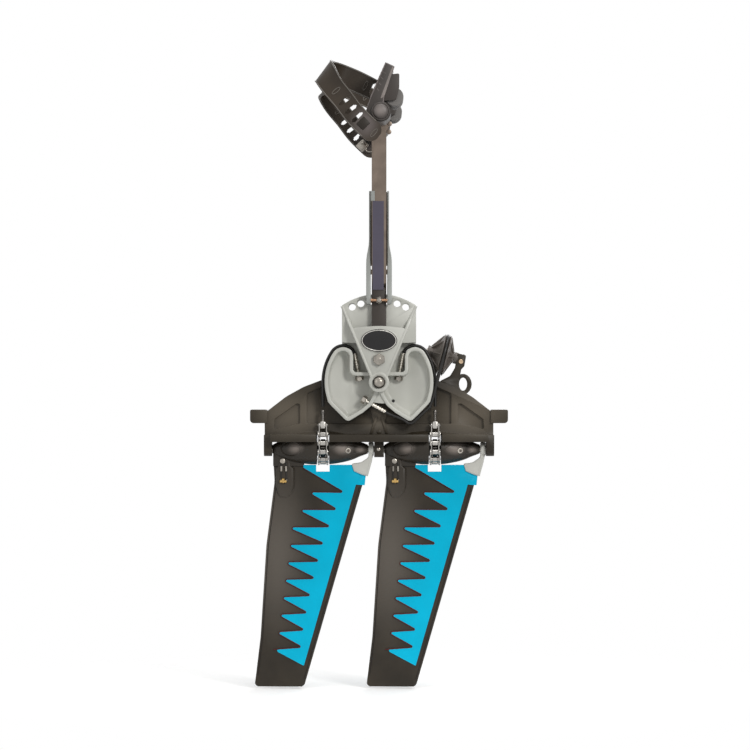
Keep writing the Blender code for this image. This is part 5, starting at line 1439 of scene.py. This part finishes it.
for name, body, middle_x in fin_places:
    hub_nylon = moulded(
        "hub_nylon_" + name, "black_casting", (0.026, 0.021, 0.015), roughness=0.38, grain=0.5, drift=0.25,
        shine=0.3,
    )
    # Painted highlights: paler ovals over the clamp pad, the scoop and the nose stand in for light caught on
    # them.
    pale = [
        (middle_x + 29, axle_z + 1, 19, 12), (middle_x - 40, axle_z + 2, 15, 12),
        (middle_x + 54, axle_z, 10, 7),
    ]
    paint_highlights(hub_nylon, (0.25, 0.215, 0.19), pale)

    bm = bmesh.new()
    for profile in (hub_profile, hub_nose):
        smooth = smooth_path([(u, 0, r) for u, r in profile], 4)
        loft(bm, [hub_ring(middle_x + p.x, p.z, middle_x) for p in smooth])
    core = [(5.4, -9.2), (9.9, -9.2), (9.9, 9.2), (5.4, 9.2)]
    lathe(bm, core, Vector((middle_x, 0, axle_z)), (1, 0, 0), 40, closed=True)
    arm = [(middle_x + u, v, r) for u, v, r in hub_arm]
    slab(bm, rounded(arm), -4.4, 4.4, soften=0.8)
    for side in (-1, 1):
        face = [(13, 1), (25, -6), (45, -6.5), (58, -2.5), (61, 0), (56, 3), (42, 7.5), (25, 7)]
        pad = smooth_path([(u, 0, v) for u, v in [*face, face[0]]], 4)[:-1]
        rings = []
        for proud, shrink in ((-3.0, 1.0), (0.1, 1.0), (0.35, 0.96), (-0.2, 0.88), (-0.9, 0.6)):
            ring = []
            for p in pad:
                u, z = 37 + (p.x - 37) * shrink, p.z * shrink
                reach = between(hub_nose, u)
                ring.append(Vector((middle_x + u, side * (math.sqrt(reach**2 - z**2) + proud), axle_z + z)))
            rings.append(ring)
        loft(bm, rings)
        for u, v, wide, tall in ((-47, 0.5, 14.5, 10.5), (-23, 0, 3.0, 17)):
            oval = []
            for k in range(41):
                turn = 2 * math.pi * k / 40
                z = v + tall * math.sin(turn)
                across = u + wide * math.cos(turn)
                reach = 13.4 + (across + 58) * 0.29 if across < -34 else 20.3 + (across + 34) * 0.08
                face = math.sqrt(max(reach**2 - z**2, 1)) - 0.3
                oval.append((middle_x + across, side * face, axle_z + z))
            tube(bm, oval, 0.6, 8)
    mount("hub_hull_" + name, bm, hub_nylon, body, ["fin_hub_" + name], crease=30)

    bm = bmesh.new()
    screw = Vector((middle_x + 36.3, -16.7, -39.5))
    socket = [(0, 0), (4.3, 0), (4.3, 0.6), (3.8, 1.2), (2.1, 1.3), (2.1, 0.2), (0, 0.2)]
    lathe(bm, socket, screw, (0.286, -0.958, 0), 28)
    mount("hub_set_screw_" + name, bm, stainless, body)


# ---------------------------------------------------------------- fin masts
# A light grey cast foot flares down from each hub's collar to the fin, and holds the steel mast
# that runs inside the fin's leading edge.

mast_nylon = moulded(
    "mast_nylon", "grey_mast_base", (0.56, 0.56, 0.52), roughness=0.45, grain=0.25, drift=0.07
)
mast_foot = [
    (66.2, -40, 2), (73.4, -40, 0), (72.7, -45, 3), (70.6, -56, 8), (64.8, -77.3, 1), (54.5, -73.9, 2),
    (44.6, -69.5, 1),
    (41.3, -58.9, 2), (55, -57.0, 9), (65.6, -49.8, 6),
]

for name, body, middle_x in fin_places:
    bm = bmesh.new()
    outline = rounded([(middle_x + u, v, r) for u, v, r in mast_foot])
    slab(bm, outline, -6.3, 6.3, soften=1.2, segments=3)
    rib = [(69.5, -46, 1), (71.6, -46, 1), (64.6, -75, 1), (61.8, -75, 1)]
    for side in (-1, 1):
        slab(bm, rounded([(middle_x + u, v, r) for u, v, r in rib]), *span(side, 5.8, 6.5), soften=0.3)
    pin(bm, (middle_x + 65.8, 0, axle_z), (middle_x + 73.4, 0, axle_z), 10.0, 1.0, 40)
    mount("mast_foot_" + name, bm, mast_nylon, body, ["fin_mast_" + name])


# ---------------------------------------------------------------- fins
# A flexible moulded polyurethane blade, thickest just behind its leading edge and thin at its
# trailing edge. It twists round the mast as it sweeps. A paler oval on its face is a painted sheen.

fin_edge = moulded("fin_edge", "fin_rubber", (0.014, 0.011, 0.009), roughness=0.45, shine=0.2)

lead_top, lead_low = Vector((57, -90.4)), Vector((-25.7, -376.2))
tail_table = [(-63.5, -71.6), (-85, -70.4), (-177, -82.3), (-309.5, -90.6), (-379, -99.0)]
blade_rows, blade_columns = 56, 22


def fin_front(z):
    """The blade's front edge, with the step up to the mast's foot at its head."""
    table = [(-63.5, 37.5), (-72.8, 43.2), (-81, 59.6), (-90.4, 56.8), (-376.2, -25.9), (-390, -29.9)]
    return between(table, z)


def half_thickness(z, behind, chord):
    """Half the blade's thickness at a distance behind its front edge."""
    scale = 1 + 0.12 * (z + 55) / 340
    shape = [(0, 0.35), (1.3, 0.72), (4, 1), (11, 1), (0.45 * chord, 0.75), (chord, 0)]
    return (1 + 4 * between(shape, behind)) * scale - 0.15 if behind <= chord else 0.9 * scale


def blade_face(bm, middle_x, rows, columns, front, back):
    """A closed skin over both faces of the blade between two edges, given as functions of height."""
    rings = []
    for z in rows:
        lead, tail = front(z), back(z)
        ring = []
        for side in (-1, 1):
            order = columns if side < 0 else columns[::-1]
            for share in order:
                x = lead + (tail - lead) * share
                chord = fin_front(z) - between(tail_table, z)
                depth = half_thickness(z, max(fin_front(z) - x, 0), chord)
                depth -= 0.9 * min(max(z + 98, 0) / 6, 1)  # thinner at its head
                if share in (columns[0], columns[-1]):
                    depth = max(depth - 0.4, 0.3)
                ring.append(Vector((middle_x + x, side * depth, z)))
        rings.append(ring)
    loft(bm, rings)


def fin_back(z):
    """The trailing edge, drawn in at the foot of the blade to round its corner."""
    x = between(tail_table, z)
    return x + max(0, -377.0 - z) ** 2 * 0.20


def fin_forward(z):
    """The front edge, drawn back in the same way."""
    return fin_front(z) - max(0, -377.5 - z) ** 2 * 0.18


fin_heights = [-71.4 - 305.0 * k / blade_rows for k in range(blade_rows + 1)]
fin_heights += [-378.0, -379.8, -381.0, -381.7]
fin_shares = [(1 - math.cos(math.pi * k / blade_columns)) / 2 for k in range(blade_columns + 1)]

for name, body, middle_x in fin_places:

    bm = bmesh.new()
    blade_face(bm, middle_x, fin_heights, fin_shares, fin_forward, fin_back)
    blade_face(bm, middle_x, [-62.35, -67, -71.5], fin_shares, lambda z: -11.0, fin_back)
    fairing = []
    for z, low, high, depth in (
        (-49.5, -66, -46, 5.3), (-62, -66, -46, 5.3), (-66, -69, -41, 5.45), (-92, -68.6, -41.6, 5.4),
        (-101, -66.8, -44.4, 4.4), (-107, -63, -50, 2.6),
    ):
        curve = min(depth - 0.2, 4.8)
        corners = (low, -depth), (high, -depth), (high, depth), (low, depth)
        outline = rounded([(middle_x + u, v, curve) for u, v in corners], 5)
        fairing.append([Vector((p.x, p.y, z)) for p in outline])
    loft(bm, fairing)
    skin = moulded(
        "fin_rubber_" + name, "fin_rubber", (0.028, 0.022, 0.015), roughness=0.4, grain=0.35, drift=0.3,
        speck=900.0,
        shine=0.24,
    )
    # Painted sheen: a paler oval over the blade's middle and trailing part stands in for light on its face.
    paint_highlights(skin, (0.105, 0.092, 0.078), [(middle_x - 66.0, -185.0, 62.0, 165.0)])
    mount("fin_foil_" + name, bm, skin, body, ["fin_blade_" + name], crease=50)

    bm = bmesh.new()
    for side in (-1, 1):
        line = [
            Vector((middle_x + fin_front(z) - 3.4, side * (half_thickness(z, 3.4, 140) - 0.25), z))
            for z in fin_heights if -372 < z < -92
        ]
        tube(bm, line, 0.75, 8)
        line = [Vector((middle_x + fin_back(z) + 3.0, side * 1.15, z)) for z in fin_heights if -368 < z < -72]
        tube(bm, line, 0.5, 8)
    mount("fin_edging_" + name, bm, fin_edge, body)


# ---------------------------------------------------------------- fin bands
# A softer blue moulding over each blade's leading edge. Its trailing edge is cut into ten rounded
# teeth that let the blade flex, each lined by a thin dark red bead where the two mouldings meet.

blue_urethane = moulded(
    "blue_urethane", "blue_stiffener", (0.0, 0.46, 0.70), roughness=0.42, grain=0.15, drift=0.06, shine=0.12
)
red_bead = moulded("red_bead", "blue_stiffener", (0.085, 0.014, 0.016), roughness=0.45, shine=0.15)

band_teeth = 10
valley_top, valley_low = Vector((31.3, -100.6)), Vector((-29.7, -324.8))


def band_tooth(k):
    """The valley above tooth k and the tooth's tip."""
    share = k / (band_teeth - 1)
    bow = 4 * share * (1 - share)
    valley = valley_top.lerp(valley_low, share) + Vector((-7.5 * bow, 0))
    tip_x = -22.2 - 15.5 * k if k < 3 else -54.7 - 2.9 * (k - 3)
    return valley, Vector((tip_x, valley.y + 0.8 - 4 * share))


def band_edge():
    """Corners of the band's toothed edge, head to foot, with the radius of each tip and valley."""
    corners = [(-28.4, -60.6, 1), (-28.4, -65.0, 1)]
    for k in range(band_teeth):
        valley, tip = band_tooth(k)
        corners += [(valley.x, valley.y, 1.4), (tip.x, tip.y, 2.2)]
    return corners


for name, body, middle_x in fin_places:
    edge = band_edge()
    front = [
        (-27.9, -351.6, 1), (47.6, -89.0, 1), (60.4, -90.2, 1), (63.4, -60.6, 1), (9.4, -60.6, 0),
        (9.4, -70.4, 0),
        (-10.1, -70.4, 0), (-10.1, -60.6, 0),
    ]
    outline = rounded([*front, *edge], 4)
    chord = 140

    flat = bmesh.new()
    verts = [flat.verts.new(Vector((p.x, 0, p.y))) for p in outline]
    rim = [flat.edges.new((verts[i - 1], verts[i])) for i in range(len(verts))]
    bmesh.ops.triangle_fill(flat, use_beauty=True, edges=rim)
    slope = lead_low - lead_top
    lean = Vector((-slope.y, 0, slope.x)).normalized()
    cuts = [((0, 0, -62 - 4.7 * k), (0, 0, 1)) for k in range(62)]
    cuts += [((lead_top.x + offset, 0, lead_top.y), lean) for offset in (-1.5, -4, -8, -12, -30, -50)]
    for place, normal in cuts:
        geom = [*flat.verts, *flat.edges, *flat.faces]
        bmesh.ops.bisect_plane(flat, geom=geom, plane_co=place, plane_no=normal, dist=0.001)
    bm = bmesh.new()
    for side in (-1, 1):
        copy = flat.copy()
        for v in copy.verts:
            behind = max(fin_front(v.co.z) - v.co.x, 0)
            proud = 0.35 + 0.4 * min(1, max(0, (v.co.z + 110) / 20))  # it stands higher at its head
            depth = half_thickness(v.co.z, behind, chord) + proud
            v.co = Vector((middle_x + v.co.x, side * depth, v.co.z))
        merge(bm, copy)
    flat.free()
    open_rims = [e for e in bm.edges if len(e.link_faces) == 1]
    bmesh.ops.bridge_loops(bm, edges=open_rims)
    mount("fin_band_skin_" + name, bm, blue_urethane, body, ["fin_band_" + name], crease=40)

    bm = bmesh.new()
    open_edge = [(-28.4, -65.0, 0), *edge[2:-1], (*edge[-1][:2], 0)]
    beads = rounded(open_edge, 4)
    for side in (-1, 1):
        line = []
        for p in spaced([(q.x, 0, q.y) for q in beads], 3.0):
            depth = half_thickness(p.z, max(fin_front(p.z) - p.x, 0), chord) + 0.3
            line.append(Vector((middle_x + p.x, side * depth, p.z)))
        tube(bm, line, 0.72, 6)
    mount("fin_band_bead_" + name, bm, red_bead, body)


# ---------------------------------------------------------------- outhauls
# A socket screw in the hub's tail arm pulls the fin's head back through a short threaded rod with
# a brass nut. The nut sits in a fairing on the blade and sets how taut the fin is held.

for name, body, middle_x in fin_places:
    bm = bmesh.new()
    head = Vector((middle_x - 58.6, -4.9, -55))
    lathe(bm, [(0, 0), (4.2, 0), (4.2, 1.2), (3.6, 2.1), (2.0, 2.6), (0, 2.6)], head, (0, -1, 0), 28)
    pin(bm, head, (head.x, 6.8, head.z), 1.9, 0.3, 16)
    mount("outhaul_screw_head_" + name, bm, stainless, body, ["outhaul_screw_" + name])

    bm = bmesh.new()
    nut = Vector((middle_x - 57.6, -7.6, -84.2))
    barrel = [
        (0, 0), (1.9, 0), (2.3, 0.4), (2.3, 3.4), (3.0, 3.8), (3.0, 5.8), (2.3, 6.2), (2.3, 9.2), (1.9, 9.6),
        (0, 9.6),
    ]
    lathe(bm, barrel, nut - Vector((4.8, 0, 0)), (1, 0, 0), 24)
    pin(bm, nut, nut + Vector((0, 0, 4.2)), 2.2, 0.4, 18)
    mount("outhaul_nut_head_" + name, bm, turned_brass, body, ["outhaul_nut_" + name])

    bm = bmesh.new()
    for way in (-1, 1):
        low = Vector((middle_x - 56.9 + way * 3.4, -6.7, -70.0))
        pin(bm, low, low + Vector((0, 0, 8.0)), 1.55, 0.4, 14)
        ball = low + Vector((way * 0.8, -0.4, -12.6))
        lathe(bm, [(0, -1.3), (0.9, -0.9), (1.3, 0), (0.9, 0.9), (0, 1.3)], ball, (0, 0, 1), 14)
    mount("outhaul_ferrules_" + name, bm, stainless, body)
    bm = bmesh.new()
    for way in (-1, 1):
        x = middle_x - 56.9 + way * 3.4
        wire = [(x, -6.6, -62.4), (x, -6.6, -58.5), (middle_x - 58.6 + way * 2.0, -6.0, -56.2)]
        tube(bm, smooth_path(wire, 5), 0.7, 8)
        wire = [(x, -6.7, -69.6), (x + way * 0.5, -6.9, -76), (x + way * 0.8, -7.1, -82)]
        tube(bm, smooth_path(wire, 5), 0.7, 8)
    mount("outhaul_wires_" + name, bm, coated_cable, body)


(low, high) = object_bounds()
